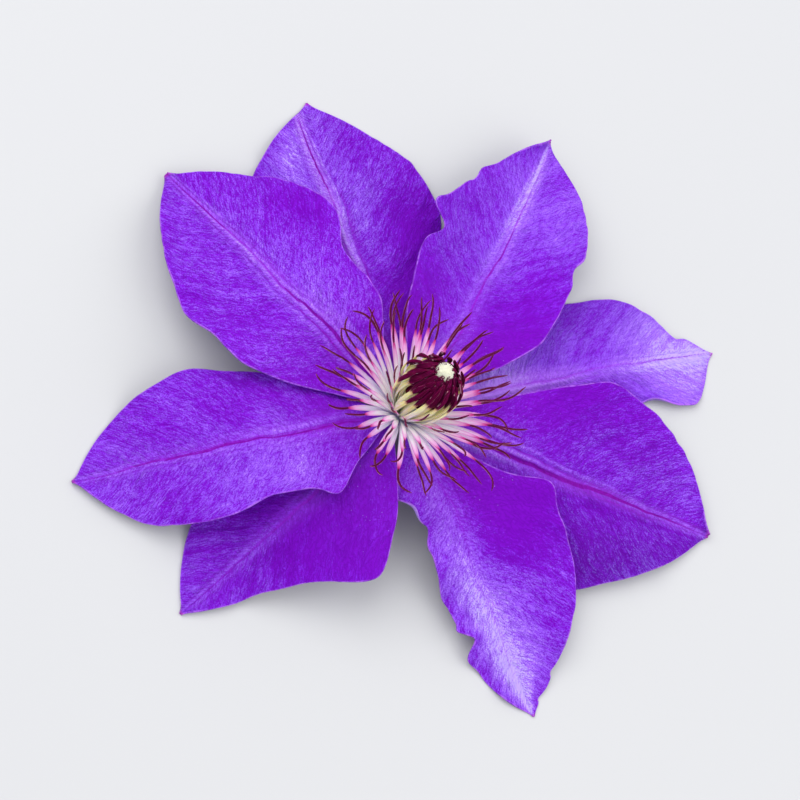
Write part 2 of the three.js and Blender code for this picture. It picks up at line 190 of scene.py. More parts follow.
class Finish:
    """A material built round one Principled shader."""

    def __init__(self, name):
        self.material = bpy.data.materials.new(name)
        self.material.use_nodes = True
        self.tree = self.material.node_tree
        self.shader = self.tree.nodes["Principled BSDF"]

    def feed(self, socket, value):
        if isinstance(value, Wire):
            self.tree.links.new(value.socket, socket)
        elif socket.type == "RGBA":
            socket.default_value = (*value, 1)
        else:
            socket.default_value = value

    def node(self, kind, settings=None, inputs=None, output=0):
        """Adds a node: its settings first, then its inputs' values or links."""
        made = self.tree.nodes.new(kind)
        for name, value in (settings or {}).items():
            if name == "stops":
                ramp = made.color_ramp
                while len(ramp.elements) < len(value):
                    ramp.elements.new(0.5)
                for element, (place, colour) in zip(ramp.elements, value):
                    element.position = place
                    element.color = (*colour, 1)
            else:
                setattr(made, name, value)
        for name, value in (inputs or {}).items():
            self.feed(made.inputs[name], value)
        return Wire(self, made.outputs[output])

    def attribute(self, name):
        """The three numbers that an attribute holds at each point of the mesh."""
        found = self.node("ShaderNodeAttribute", {"attribute_name": name}, output="Vector")
        split = self.node("ShaderNodeSeparateXYZ", inputs={"Vector": found}, output="X")
        outputs = split.socket.node.outputs
        return [Wire(self, outputs[axis]) for axis in "XYZ"]

    def noise(self, x, y, z, scale, detail=2, roughness=0.5):
        """Noise between 0 and 1, around 0.5, at three coordinates."""
        place = self.node("ShaderNodeCombineXYZ", inputs={"X": x, "Y": y, "Z": z})
        return self.node("ShaderNodeTexNoise", inputs={
            "Vector": place, "Scale": scale, "Detail": detail, "Roughness": roughness,
        })

    def rise(self, value, low, high):
        """0 below low, 1 above high, and a soft step between. low may be the larger."""
        return self.node("ShaderNodeMapRange", {"interpolation_type": "SMOOTHSTEP"}, {
            "Value": value, "From Min": low, "From Max": high,
        })

    def ramp(self, value, stops):
        return self.node("ShaderNodeValToRGB", {"stops": stops}, {"Fac": value})

    def mix(self, share, first, second, blend="MIX"):
        settings = {"data_type": "RGBA", "blend_type": blend}
        return self.node("ShaderNodeMix", settings, {0: share, 6: first, 7: second}, 2)

    def bump(self, height, distance):
        """A normal from a height, where a height of 1 stands distance mm proud."""
        return self.node("ShaderNodeBump", inputs={"Height": height, "Distance": MM * distance})

    def done(self, **sockets):
        """Feeds the shader. An underscore in a name stands for a space."""
        for name, value in sockets.items():
            self.feed(self.shader.inputs[name.replace("_", " ")], value)
        print("finish ready:", self.material.name)
        return self.material


floor_finish = Finish("floor_pale")
place = floor_finish.node("ShaderNodeTexCoord", output="Object")
mottle = floor_finish.node("ShaderNodeTexNoise", inputs={"Vector": place, "Scale": 3, "Detail": 2})
floor.data.materials.append(floor_finish.done(
    Base_Color=floor_finish.mix(mottle, (0.54, 0.54, 0.55), (0.57, 0.57, 0.57)), Roughness=0.7))

# %% [markdown]
# ## The tepals' shape
# A clematis tepal is a blade on a short claw: it arches up or droops along its length, its
# sides rise or fall, and its margins wave. It could be sculpted, but a formula repeats on all
# eight and keeps them clear of one another. Each blade here uses the frame's own formula, with
# a place for every share of the length and every v from -1 at the right margin to 1 at the
# left one. The fine form comes on top: a raised midrib with a furrow in its middle and finer
# folds beside it, veins, pleats, shallow swellings, small ruffles and a few margins that roll
# over.

# %% A smooth curve through a few values


def smooth_through(stations, values):
    """A curve through values at stations that never overshoots them."""
    slopes = [
        (values[i + 1] - values[i]) / (stations[i + 1] - stations[i])
        for i in range(len(values) - 1)
    ]
    tangents = [slopes[0]]
    for before, after in zip(slopes, slopes[1:]):
        product = before * after
        tangents.append(0 if product <= 0 else 2 * product / (before + after))
    tangents.append(slopes[-1])

    def at(x):
        i = 0
        while i < len(slopes) - 1 and x >= stations[i + 1]:
            i += 1
        span = stations[i + 1] - stations[i]
        t = (x - stations[i]) / span
        return (
            values[i] * (1 + 2 * t) * (1 - t) ** 2
            + tangents[i] * span * t * (1 - t) ** 2
            + values[i + 1] * t * t * (3 - 2 * t)
            + tangents[i + 1] * span * t * t * (t - 1)
        )

    return at


def clamp(x, low=0.0, high=1.0):
    return max(low, min(high, x))


def lerp(first, second, share):
    return first + (second - first) * share


def bell(x, centre, reach):
    return math.exp(-(((x - centre) / reach) ** 2))


print("halfway between 1 and 3:", smooth_through([0, 1], [1, 3])(0.5))

# %% Every tepal's driving sizes
# Bend is how far the tip lies to the left of the azimuth's line, seat how high the claw stands
# against the heart, and lift how steeply the blade leaves it, against the lean of the whole
# face. A side has half-widths at the inner stations, how far its margin is raised, a wave of
# height, count and start, nicks and bulges of the margin as share, reach and depth, and rolls
# of the margin as share, reach and how many degrees it turns over. Nerves say how marked the
# midrib is and how far its furrow is from its middle, rough how strong the mottling and the
# fine wrinkles are, and midrib how far the midrib bows to the left halfway and at its end.
# Two kinds of spots list share, v, their reach in both, and how much. Spots of painted shade
# darken the blade, or paint light on it if negative. Tone spots make it paler, or deeper if
# negative: partly the blade's own tone, partly painted shade and a painted reflection of the sky.
FACE_LEAN = math.radians(15)
FACE_AZIMUTH = math.radians(45)
CLAW_START = 3.4
CLAW_HALF = 0.8
TIP_HALF = 0.25
STATIONS = [0, 0.12, 0.26, 0.42, 0.58, 0.74, 0.88, 1]
TEPALS = {
    "A": dict(
        azimuth=102.2, length=83, bend=0, seat=-0.45, lift=0.03, tip_height=0, tip_slope=-0.05,
        left=dict(widths=[6.5, 15, 21, 23, 20, 12], rise=-1.5, wave=(1.2, 2.5, 0.1)),
        right=dict(widths=[6.5, 16, 22, 25.7, 22.3, 12.5], rise=-2.2, wave=(1.2, 2.5, 0.4)),
        nerves=(1.3, 0.1), rough=1, midrib=(0, 3.5), painted_shade_and_light=[(0.75, -0.5, 0.4, 0.8, 0.25)],
        tones_and_painted_light=[
            (0.42, -0.85, 0.24, 0.45, -0.4), (0.8, 0.5, 0.25, 0.35, 0.3),
            (0.2, -0.2, 0.15, 0.6, -0.15), (0.7, -0.1, 0.3, 0.4, 0.2),
        ],
    ),
    "B": dict(
        azimuth=58.5, length=83, bend=2, seat=0.45, lift=0.25, tip_height=8, tip_slope=0.12,
        left=dict(
            widths=[6, 12, 15.3, 16.6, 13.5, 7.5], rise=3.2, wave=(1.7, 3, 0.35),
            nicks=[(0.55, 0.036, -3.4), (0.6, 0.035, 2.2), (0.755, 0.025, -0.8), (0.81, 0.02, 0.9)],
        ),
        right=dict(
            widths=[6, 15, 20.8, 21.4, 20, 14], rise=2.5, wave=(1.5, 2.2, 0.6),
            nicks=[(0.665, 0.03, -1.6)],
        ),
        nerves=(0.45, 0.1), rough=0.65, midrib=(-2.4, 0), painted_shade_and_light=[(0.5, 0.6, 0.4, 0.5, 0.4)],
        tones_and_painted_light=[
            (0.85, -0.2, 0.3, 0.9, 0.2), (0.36, -0.75, 0.2, 0.5, -0.42),
            (0.8, -0.05, 0.3, 0.12, 0.34), (0.25, 0.85, 0.16, 0.35, -0.25),
        ],
    ),
    "C": dict(
        azimuth=18.5, length=86, bend=-6, seat=-0.45, lift=0.04, tip_height=0.6, tip_slope=0,
        left=dict(
            widths=[6, 11.5, 16, 18.4, 17, 8.5], rise=-1, wave=(1.9, 2.5, 0.2),
            nicks=[(0.895, 0.028, -2.5)],
        ),
        right=dict(
            widths=[5, 9, 10, 9, 10.5, 12.5], rise=-3.2, wave=(2, 2, 0.6),
            rolls=[(0.76, 0.06, 150)],
        ),
        nerves=(0.3, 0.2), rough=0.5, midrib=(0, 0),
        painted_shade_and_light=[(0.5, 0.8, 0.3, 0.6, 0.45), (0.32, -0.15, 0.25, 0.5, -0.5)],
        tones_and_painted_light=[
            (0.98, 0, 0.28, 1.5, 0.66), (0.25, 0, 0.25, 1.2, 0.5), (0.58, 0.1, 0.15, 0.8, -0.1),
            (0.6, -0.1, 0.5, 0.16, 0.16),
        ],
    ),
    "D": dict(
        azimuth=-17.2, length=83, bend=0, seat=0.45, lift=0.1, tip_height=1, tip_slope=-0.1,
        left=dict(widths=[6.5, 13.5, 20.5, 26, 23.6, 16], rise=3, wave=(1.2, 2, 0.2)),
        right=dict(widths=[6.5, 15, 21.5, 24.5, 18.8, 11], rise=-2, wave=(1.2, 2, 0.6)),
        nerves=(1, 0.3), rough=1, midrib=(0, 0),
        painted_shade_and_light=[(0.6, -0.8, 0.6, 0.6, 0.95), (0.7, 0.5, 0.3, 0.4, 0.3)],
        tones_and_painted_light=[
            (0.44, 0.85, 0.2, 0.45, -0.3), (0.2, 0.1, 0.12, 0.5, 0.2), (0.55, -0.8, 0.3, 0.5, -0.12),
            (0.65, -0.06, 0.4, 0.16, -0.22),
        ],
    ),
    "E": dict(
        azimuth=-61.5, length=76, bend=-3, seat=0, lift=0.1, tip_height=-0.3, tip_slope=-0.08,
        left=dict(
            widths=[6, 14, 23, 23.3, 19.6, 10.5], rise=3.5, wave=(1.2, 2.5, 0.2),
            nicks=[(0.36, 0.05, 2.5), (0.9, 0.012, -1.2), (0.955, 0.01, -1.4)],
        ),
        right=dict(
            widths=[8.5, 9.2, 9, 9.4, 8.5, 6], rise=-1.5, wave=(1.6, 4, 0.6),
            nicks=[
                (0.175, 0.04, 2.2), (0.31, 0.035, -2.6), (0.64, 0.012, 0.7),
                (0.69, 0.025, -2.2), (0.738, 0.028, 1.4),
            ],
            rolls=[(0.24, 0.07, 150)],
        ),
        nerves=(0.2, 0.2), rough=0.9, midrib=(0, -1.2), painted_shade_and_light=[],
        tones_and_painted_light=[
            (0.37, 0.6, 0.17, 0.45, -0.5), (0.9, -0.1, 0.3, 0.5, 0.62), (0.5, -0.4, 0.3, 0.5, 0.42),
            (0.2, -0.1, 0.1, 0.6, 0.1), (0.75, -1, 0.35, 0.5, 0.05),
        ],
    ),
    "F": dict(
        azimuth=-138, length=67, bend=0, seat=-0.45, lift=0.08, tip_height=-0.4, tip_slope=-0.2,
        left=dict(widths=[9.5, 18.5, 24, 16, 9, 5], rise=0.5, wave=(1.2, 2, 0.2)),
        right=dict(widths=[6, 12, 16, 17, 14, 8], rise=-2.5, wave=(1.2, 2.5, 0.6)),
        nerves=(0.4, 0.3), rough=0.7, midrib=(0, 0), painted_shade_and_light=[(0.5, 0, 0.5, 1, 0.3)],
        tones_and_painted_light=[(0.4, 0.3, 0.4, 0.9, -0.25)],
    ),
    "G": dict(
        azimuth=191, length=76, bend=0, seat=0.45, lift=0.2, tip_height=-0.4, tip_slope=-0.2,
        left=dict(
            widths=[8.5, 14, 14, 16.5, 15, 9], rise=2.8, wave=(1.7, 2, 0.2),
            nicks=[(0.22, 0.05, 3)],
        ),
        right=dict(widths=[6, 12, 17, 20, 17, 10], rise=-3.4, wave=(1.2, 2.5, 0.6)),
        nerves=(0.5, 0.3), rough=0.9, midrib=(0, 0), painted_shade_and_light=[],
        tones_and_painted_light=[(0.35, 0.5, 0.25, 0.6, 0.27), (0.15, -0.3, 0.12, 0.8, -0.2)],
    ),
    "H": dict(
        azimuth=131, length=80, bend=0, seat=0.45, lift=0.25, tip_height=2.5, tip_slope=-0.2,
        left=dict(widths=[9, 17, 22, 22, 18, 11], rise=2.8, wave=(1.4, 2.5, 0.2)),
        right=dict(
            widths=[5.5, 13.5, 17, 22.2, 19, 11], rise=2.5, wave=(1.2, 2.5, 0.6),
            nicks=[(0.46, 0.05, -1.5)],
        ),
        nerves=(0.9, 0.3), rough=1, midrib=(0, 0), painted_shade_and_light=[],
        tones_and_painted_light=[
            (0.4, -0.4, 0.25, 0.5, 0.2), (0.2, 0.1, 0.12, 0.6, -0.1), (0.63, -0.8, 0.1, 0.25, -0.3),
        ],
    ),
}
print(f"{len(TEPALS)} tepals, {min(t['length'] for t in TEPALS.values())} to "
      f"{max(t['length'] for t in TEPALS.values())} mm from the heart to the tip")

# %% The frame's own surface
RAISED_POWER = 1.6  # how the rise of a side grows towards the margin
WAVE_POWER = 2.5    # how the wave does


def tepal_height(tepal, share, v):
    """The height of the frame's own surface over the floor."""
    fall = math.tan(FACE_LEAN) * math.cos(math.radians(tepal["azimuth"]) - FACE_AZIMUTH)
    span = tepal["length"] - CLAW_START
    side = tepal["left"] if v > 0 else tepal["right"]
    base = HEART.z + tepal["seat"] - fall * CLAW_START
    rest = 1 - share
    ridge = (
        (1 + 2 * share) * rest**2 * base
        + share * rest**2 * (tepal["lift"] - fall) * span
        + share**2 * (3 - 2 * share) * tepal["tip_height"]
        + share**2 * (share - 1) * tepal["tip_slope"] * span
    )
    inside = clamp(share)
    broad = math.sin(math.pi * inside**0.8) ** 0.8 if 0 < inside < 1 else 0
    raised = side["rise"] * abs(v) ** RAISED_POWER * broad
    high, count, start = side["wave"]
    wave = high * math.sin(2 * math.pi * (count * share + start))
    return ridge + raised + wave * abs(v) ** WAVE_POWER * clamp(3 * share) ** 2


print(f"the tip of tepal B is {tepal_height(TEPALS['B'], 1, 0):.1f} mm over the floor")

# %% The midrib and its folds
RIB_HALF = 4.2  # half the raised midrib's width, near the claw
RIB_NARROWING = 0.72
RIB_WANDER = 1.2
RIB_WAVER = 0.35
FOLDS_PER_MM = 0.62
MIDDLE_RIDGE = 0.4
MIDDLE_FURROW = 0.9


def rib_taper(share):
    """How wide the midrib is at a share of the length, against its width at the claw."""
    return 1 - RIB_NARROWING * clamp(share)


def beside_midrib(tepal, number, along, across, share):
    """How far to the left of the midrib a point is. The midrib wanders and narrows to the tip."""
    wander = RIB_WANDER * noise.noise(Vector((0.06 * along, 17 * number, 0)))
    wander += RIB_WAVER * noise.noise(Vector((0.25 * along, 17 * number, 5)))
    wander *= clamp(4 * share) * clamp(4 * (1 - share))
    middle, end = tepal["midrib"]
    aside = middle * math.sin(math.pi * clamp(share)) + end * clamp(share) ** 2.5
    return (across + wander - aside) / rib_taper(share)


def midrib_folds(tepal, number, along, beside, share):
    """The folds that run along the midrib: above 0 on a ridge, below 0 in a furrow."""
    strength, apart = tepal["nerves"]
    folds = 1.5 * noise.noise(Vector((0.03 * along, FOLDS_PER_MM * beside, 23 * number + 4)))
    folds += MIDDLE_RIDGE * bell(beside, 0, 2.4) - MIDDLE_FURROW * bell(abs(beside), apart, 0.6)
    return strength * folds * bell(beside, 0, RIB_HALF + 2 * strength) * clamp(6 * share)


print(f"at its tip the midrib keeps {rib_taper(1):.2f} of its width")

# %% Veins, pleats, swellings and ruffles
RIB_RAISED = 0.9
FOLD_HEIGHT = 0.7
VEIN_HEIGHT = 0.12
PLEAT_DEPTH = 0.9
SWELLING = 0.8
RUFFLE = 0.9


def vein_slant(along, across, share):
    """The same along one side vein, which turns more towards the tip the nearer it is to it."""
    return along - (0.35 + 0.9 * share) * abs(across)


def fine_relief(tepal, number, along, across, share, v):
    """What the real blade has over the plain surface: midrib, pleats, swellings, ruffles."""
    beside = beside_midrib(tepal, number, along, across, share)
    midrib = RIB_RAISED * lerp(0.5, 1, tepal["nerves"][0]) * bell(beside, 0, RIB_HALF)
    midrib += FOLD_HEIGHT * midrib_folds(tepal, number, along, beside, share)
    slanted = vein_slant(along, across, share)
    veins = noise.noise(Vector((0.75 * slanted, 0.12 * across, 7 * number)))
    pleats = noise.noise(Vector((0.3 * slanted, 0.04 * across, 19 * number)))
    swell = noise.noise(Vector((0.09 * along, 0.09 * across, 3 * number)))
    ruffle = noise.noise(Vector((0.16 * along, 4 * (v > 0), 11 * number)))
    return (
        clamp(3 * (1 - share)) * clamp(8 * share) * midrib
        + VEIN_HEIGHT * veins
        + PLEAT_DEPTH * pleats * abs(v) * clamp(4 * share) * clamp(5 * (1 - share))
        + SWELLING * swell * clamp(2 * abs(v)) * clamp(5 * share)
        + RUFFLE * ruffle * abs(v) ** 6 * clamp(4 * share) * clamp(6 * (1 - share))
    )


print(f"the relief in the middle of tepal D is {fine_relief(TEPALS['D'], 3, 43, 0, 0.5, 0):.2f} mm")

# %% Where a point of the blade lies
SHEET = 0.36         # a blade's real thickness
ROLL_RADIUS = 0.8
TIP_NARROWING = 0.35
MARGIN_WAVER = 0.5
LEAST_HALF = 0.1
FLOOR_GAP = 0.02
FLOOR_EASE = 0.16    # in square mm: how softly a low blade comes to lie on the floor


def bells_at(share, bells):
    """The nicks or the rolls of a margin at a share of the length."""
    return sum(amount * bell(share, place, reach) for place, reach, amount in bells)


def blade_point(tepal, number, share, v):
    """Where a point of the blade lies, and how far it is along, across and in from the margin."""
    azimuth = math.radians(tepal["azimuth"])
    along_way = Vector((math.cos(azimuth), math.sin(azimuth), 0))
    across_way = Vector((-along_way.y, along_way.x, 0))
    side = tepal["left"] if v > 0 else tepal["right"]
    inside = clamp(share)
    width = tepal["width_left" if v > 0 else "width_right"](inside)
    width += bells_at(inside, side.get("nicks", []))
    width *= 1 - TIP_NARROWING * bell(inside, 1, 0.03)
    waver = noise.noise(Vector((9 * share, 5 * (v > 0), 13 * number)))
    width += MARGIN_WAVER * waver * math.sin(math.pi * inside)
    width = max(width, LEAST_HALF)
    out = CLAW_START + share * (tepal["length"] - CLAW_START)
    across = v * width
    height = tepal_height(tepal, share, v) + fine_relief(tepal, number, out, across, share, v)
    turned = math.radians(bells_at(inside, side.get("rolls", [])))
    taken = ROLL_RADIUS * turned  # how much of the margin is in the roll
    past = clamp(abs(across) - (width - taken), 0, taken)
    if past > 0:
        angle = past / ROLL_RADIUS
        across = math.copysign(width - taken + ROLL_RADIUS * math.sin(angle), across)
        height += ROLL_RADIUS * (1 - math.cos(angle))
    place = HEART.xy.to_3d() + along_way * out + across_way * (tepal["bend"] * inside**2.5 + across)
    lowest = SHEET / 2 + FLOOR_GAP
    place.z = (height + lowest + math.sqrt((height - lowest) ** 2 + FLOOR_EASE)) / 2
    return place, out, v * width, width * (1 - abs(v))


for tepal in TEPALS.values():
    for side in ("left", "right"):
        widths = [CLAW_HALF, *tepal[side]["widths"], TIP_HALF]
        tepal["width_" + side] = smooth_through(STATIONS, widths)
print("the midrib of tepal D runs over", ", ".join(
    f"{blade_point(TEPALS['D'], 3, share, 0)[0].z:.1f}" for share in (0, 0.25, 0.5, 0.75, 1)), "mm")

# %% [markdown]
# ## The tepals' meshes
# A blade starts as a flat grid, which an operator makes, and every point of the grid is then
# moved to its place on the formula's surface. The columns stand a little closer together
# towards both margins, where the blade waves and rolls the most. Four attributes go with the
# points, so that the finish can follow the blade wherever it bends. A Solidify modifier gives
# the sheet its thickness, with a finish of its own on the underside.

# %% Move a grid on to the surface
ROWS = 150
COLUMNS = 96
CROWDING = 0.1  # the more, the closer together the columns stand at the margins
SUNK = 0.012    # the claw's end reaches this share of the length into the disc
RIB_TONE_REACH = 4.5


def spots_at(spots, share, v):
    """The sum of a blade's spots at one of its points."""
    return sum(
        amount * bell(share, at, reach) * bell(v, beside, spread)
        for at, beside, reach, spread, amount in spots)


def shaped_blade(name, tepal, number):
    """A blade's sheet. Its points keep where they are on it, for the finish."""
    bm = bmesh.new()
    blade_layer = bm.verts.layers.float_vector.new("blade")
    spot_layer = bm.verts.layers.float_vector.new("spot")
    light_tone_and_folds_layer = bm.verts.layers.float_vector.new("tone")
    rib_layer = bm.verts.layers.float_vector.new("rib")
    bmesh.ops.create_grid(bm, x_segments=COLUMNS, y_segments=ROWS, size=1)
    for vertex in bm.verts:
        u, w = vertex.co.x, vertex.co.y
        v = -u * (1 + CROWDING - CROWDING * u * u)
        share = lerp(-SUNK, 1, (w + 1) / 2)
        place, along, across, margin = blade_point(tepal, number, share, v)
        vertex.co = MM * place
        beside = beside_midrib(tepal, number, along, across, share)
        folds = midrib_folds(tepal, number, along, beside, share)
        rib_tone = lerp(0.06, 0.12, tepal["nerves"][0]) * bell(beside, 0, RIB_TONE_REACH)
        # Tone spots mix the blade's own tone with painted shade and a painted reflection of the sky;
        # the other spots are painted shade, or painted light where negative.
        tone = spots_at(tepal["tones_and_painted_light"], share, v) + rib_tone
        vertex[blade_layer] = Vector((share, margin, beside))
        vertex[spot_layer] = Vector((along, across, number))
        vertex[light_tone_and_folds_layer] = Vector((tone, spots_at(tepal["painted_shade_and_light"], share, v), folds))
        vertex[rib_layer] = Vector((*tepal["nerves"], tepal["rough"]))
    bmesh.ops.recalc_face_normals(bm, faces=bm.faces)
    if sum(face.normal.z for face in bm.faces) < 0:
        bmesh.ops.reverse_faces(bm, faces=bm.faces)
    for face in bm.faces:
        face.smooth = True
    mesh = bpy.data.meshes.new(name)
    bm.to_mesh(mesh)
    bm.free()
    return mesh


blades = {}
for number, (letter, tepal) in enumerate(TEPALS.items()):
    blade = link(f"blade_{letter}", shaped_blade(f"blade_{letter}", tepal, number))
    wall = blade.modifiers.new("sheet", "SOLIDIFY")
    wall.thickness = MM * SHEET
    wall.offset = 0
    wall.material_offset = 1
    blades[letter] = blade
print("faces in one blade's sheet:", len(blades["A"].data.polygons))

# %% [markdown]
# ## The tepals' finish
# The upper side is deep violet and lavender, partly its own tone and partly painted: painted
# shade deepens it where the blades beside it shade it, and a painted reflection of the sky makes
# it lavender. Veins leave the midrib at a slant and curve outward, so the fine streaks follow a
# slanted coordinate. A magenta furrow and thin dark threads run in the midrib's paler band. The
# threads are partly nerves and partly painted shade at the bottom of the folds, whose ridges are
# painted paler. The margin is a thin pale line. The finish adds most of this as one number, how
# pale the spot is, and a ramp turns it into a colour. The underside is the same blade, duller
# and greyer, with a whitish midrib. Both are velvety, which a little sheen and a fine grain
# give.

# %% Finish of the upper side
DEEP = (0.165, 0.0, 0.46)      # five steps from the deepest spots to the palest
VIOLET = (0.185, 0.007, 0.58)
BRIGHT = (0.24, 0.06, 0.72)
LAVENDER = (0.34, 0.137, 0.83)
PALEST = (0.50, 0.36, 0.93)
RIB_PINK = (0.36, 0.085, 0.72)
FURROW = (0.27, 0.008, 0.56)
NERVE_AND_CREASE_SHADE = (0.215, 0.0, 0.34)
BASE = (0.27, 0.012, 0.58)     # a warmer violet near the heart
# The next two colours are painted shade, which darkens spots of a blade, and painted light, which
# brightens them.
PAINTED_SHADE = (0.62, 0.95, 0.64)      # multiplies the colour where light hardly reaches
PAINTED_LIGHT = (0.52, 0.10, 1.0)       # where the blade is lit from behind
DUST = (0.75, 0.62, 0.95)      # specks of pollen near the heart
MARGIN = (0.44, 0.15, 0.80)
TIP_MAROON = (0.45, 0.01, 0.3)


def vein_pattern(finish, slanted, along, across, beside, number):
    """Fine streaks, along the blade by its midrib and slanting to the margin beyond it."""
    sideways = finish.noise(2.2 * slanted, 0.6 * across, 9 * number, 1, 2, 0.6)
    lengthwise = finish.noise(0.35 * along, 1.6 * beside, 9 * number, 1, 2, 0.6)
    return lengthwise + (sideways - lengthwise) * finish.rise(abs(beside), 2.5, 7)


def upper_finish():
    finish = Finish("tepal_upper")
    share, margin, beside = finish.attribute("blade")
    along, across, number = finish.attribute("spot")
    tone, painted_shade_and_light, folds = finish.attribute("tone")
    strength, apart, rough = finish.attribute("rib")
    clouds = finish.noise(along, across, 5 * number, 0.07, 2)
    mottle = finish.noise(along, across, 5 * number, 0.4, 3, 0.6)
    grain = finish.noise(along, across, 5 * number, 3, 2, 0.6)
    slanted = vein_slant(along, across, share) + 6 * (clouds - 0.5)
    flecks = finish.noise(1.5 * slanted, 0.75 * across, 4 * number, 1, 1)
    veins = vein_pattern(finish, slanted, along, across, beside, number)
    pleats = finish.noise(0.45 * slanted, 0.05 * across, 3 * number, 1, 3)
    across_veins = finish.noise(1.3 * slanted, 0.7 * across, 6 * number, 1, 2)
    wrinkles = finish.rise(abs(across_veins - 0.5), 0.05, 0)
    dust = finish.rise(finish.noise(along, across, 5 * number, 2.6, 0), 0.8, 0.88)

    pale = (
        0.33
        # the blade's own tone, painted shade and a painted reflection of the sky, spot by spot
        + tone
        + 0.45 * (clouds - 0.5)
        + rough * (0.4 * (mottle - 0.5) + 0.5 * (flecks - 0.5))
        + 0.55 * (pleats - 0.5) * finish.rise(abs(beside), 2, 8)
        + rough * (0.5 * (veins - 0.5) + 1.05 * (grain - 0.5) - 0.26 * wrinkles)
        # paler on the folds' ridges and deeper in their furrows: partly the blade's own bands,
        # partly painted light and shade
        + 0.35 * folds
        + 0.05 * finish.rise(share, 0.6, 1)
    )
    colour = finish.ramp(pale, [
        (0.02, DEEP), (0.26, VIOLET), (0.5, BRIGHT), (0.76, LAVENDER), (1.0, PALEST),
    ])

    colour = finish.mix(0.2 * finish.rise(share, 0.55, 0.15), colour, BASE)
    fade = finish.rise(share, 1, 0.8)
    blush = strength * (0.1 + 0.5 * mottle) * finish.rise(abs(beside), 6.5, 0.5)
    colour = finish.mix(blush, colour, RIB_PINK)
    from_furrow = abs(abs(beside) - apart + 0.5 * (veins - 0.5))
    middle = strength * finish.rise(from_furrow, 0.3 + 0.4 * strength, 0.1)
    furrow = fade * finish.rise(folds - 0.8 * middle + 0.3 * (veins - 0.5), -0.1, -0.6)
    colour = finish.mix(0.6 * furrow, colour, FURROW)
    # thin dark threads at the bottom of the folds: partly nerves, partly painted shade in the
    # creases
    nerves_and_crease_shade = fade * finish.rise(folds - 0.6 * middle + 0.5 * (mottle - 0.5), -0.42, -0.75)
    colour = finish.mix(0.8 * nerves_and_crease_shade, colour, NERVE_AND_CREASE_SHADE)
    # painted shade, and painted light where the spots are negative
    colour = finish.mix(painted_shade_and_light, colour, PAINTED_SHADE, "MULTIPLY")
    colour = finish.mix(-1 * painted_shade_and_light, colour, PAINTED_LIGHT)
    colour = finish.mix(0.45 * dust * finish.rise(share, 0.5, 0.2), colour, DUST)
    edge = finish.rise(margin, 0.3, 0.12) * (0.2 + 0.6 * finish.rise(mottle, 0.4, 0.6))
    colour = finish.mix(edge, colour, MARGIN)
    colour = finish.mix(0.5 * finish.rise(share, 0.986, 0.998), colour, TIP_MAROON)

    crinkle = finish.noise(0.9 * slanted, 0.3 * across, 3 * number, 1, 2)
    height = 0.5 * veins + 0.35 * grain + 0.5 * mottle - 0.3 * nerves_and_crease_shade - 0.3 * wrinkles
    flank = finish.rise(abs(beside), 2, 4) * finish.rise(abs(beside), 13, 6)
    height = height + 2.2 * crinkle * (flank + finish.rise(clouds, 0.44, 0.6))
    return finish.done(
        Base_Color=colour,
        Roughness=0.5 + 0.25 * grain,
        Normal=finish.bump(height, 0.28),
        Specular_IOR_Level=0.06,
        Sheen_Weight=0.02,
        Sheen_Roughness=0.4,
        Sheen_Tint=(0.55, 0.45, 1),
    )


tepal_finishes = [upper_finish()]

# %% Finish of the underside


def under_finish():
    finish = Finish("tepal_under")
    share, margin, beside = finish.attribute("blade")
    along, across, number = finish.attribute("spot")
    folds = finish.attribute("tone")[2]
    slanted = vein_slant(along, across, share)
    veins = vein_pattern(finish, slanted, along, across, beside, number)
    clouds = finish.noise(along, across, 5 * number + 2, 0.08, 2)
    pale = 0.5 + 0.6 * (veins - 0.5) + 0.6 * (clouds - 0.5)
    colour = finish.ramp(pale, [
        (0.1, (0.17, 0.05, 0.42)), (0.5, (0.29, 0.16, 0.60)), (0.9, (0.44, 0.33, 0.72)),
    ])
    bar = finish.rise(abs(beside), 4.6, 3) * finish.rise(share, 1, 0.5)
    colour = finish.mix(0.7 * bar, colour, (0.50, 0.50, 0.55))
    nerves = finish.rise(abs(beside), 0.5, 0.1) + finish.rise(folds, -0.3, -0.6)
    colour = finish.mix(0.5 * nerves * finish.rise(share, 1, 0.6), colour, (0.36, 0.22, 0.42))
    colour = finish.mix(0.5 * finish.rise(margin, 0.4, 0.1), colour, MARGIN)
    return finish.done(
        Base_Color=colour,
        Roughness=0.62 + 0.15 * veins,
        Normal=finish.bump(veins + 0.4 * nerves, 0.4),
        Specular_IOR_Level=0.25,
        Sheen_Weight=0.2,
        Sheen_Roughness=0.5,
        Sheen_Tint=(0.8, 0.8, 1),
    )


tepal_finishes.append(under_finish())

# %% Dress the blades
for letter, blade in blades.items():
    for material in tepal_finishes:
        blade.data.materials.append(material)
    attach(blade, "root")
    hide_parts(f"tepal_{letter}")
print("blades dressed:", ", ".join(blades))

# %% [markdown]
# ## One tube for every strand
# Filaments, anthers, styles and the stalk are all long closed strands. A curve with a bevel
# would make them round, but a filament is a flat ribbon and an anther has two sacs with a
# groove between. So one straight tube is made by pulling a disc up ring by ring, and a copy of
# it is bent along each strand's own course, ring by ring, where the course says how wide and
# how deep the strand is there.

# %% The straight tube


def polar(radius, azimuth, height):
    return Vector((radius * math.cos(azimuth), radius * math.sin(azimuth), height))


def points_of(parts):
    return [part for part in parts if isinstance(part, bmesh.types.BMVert)]


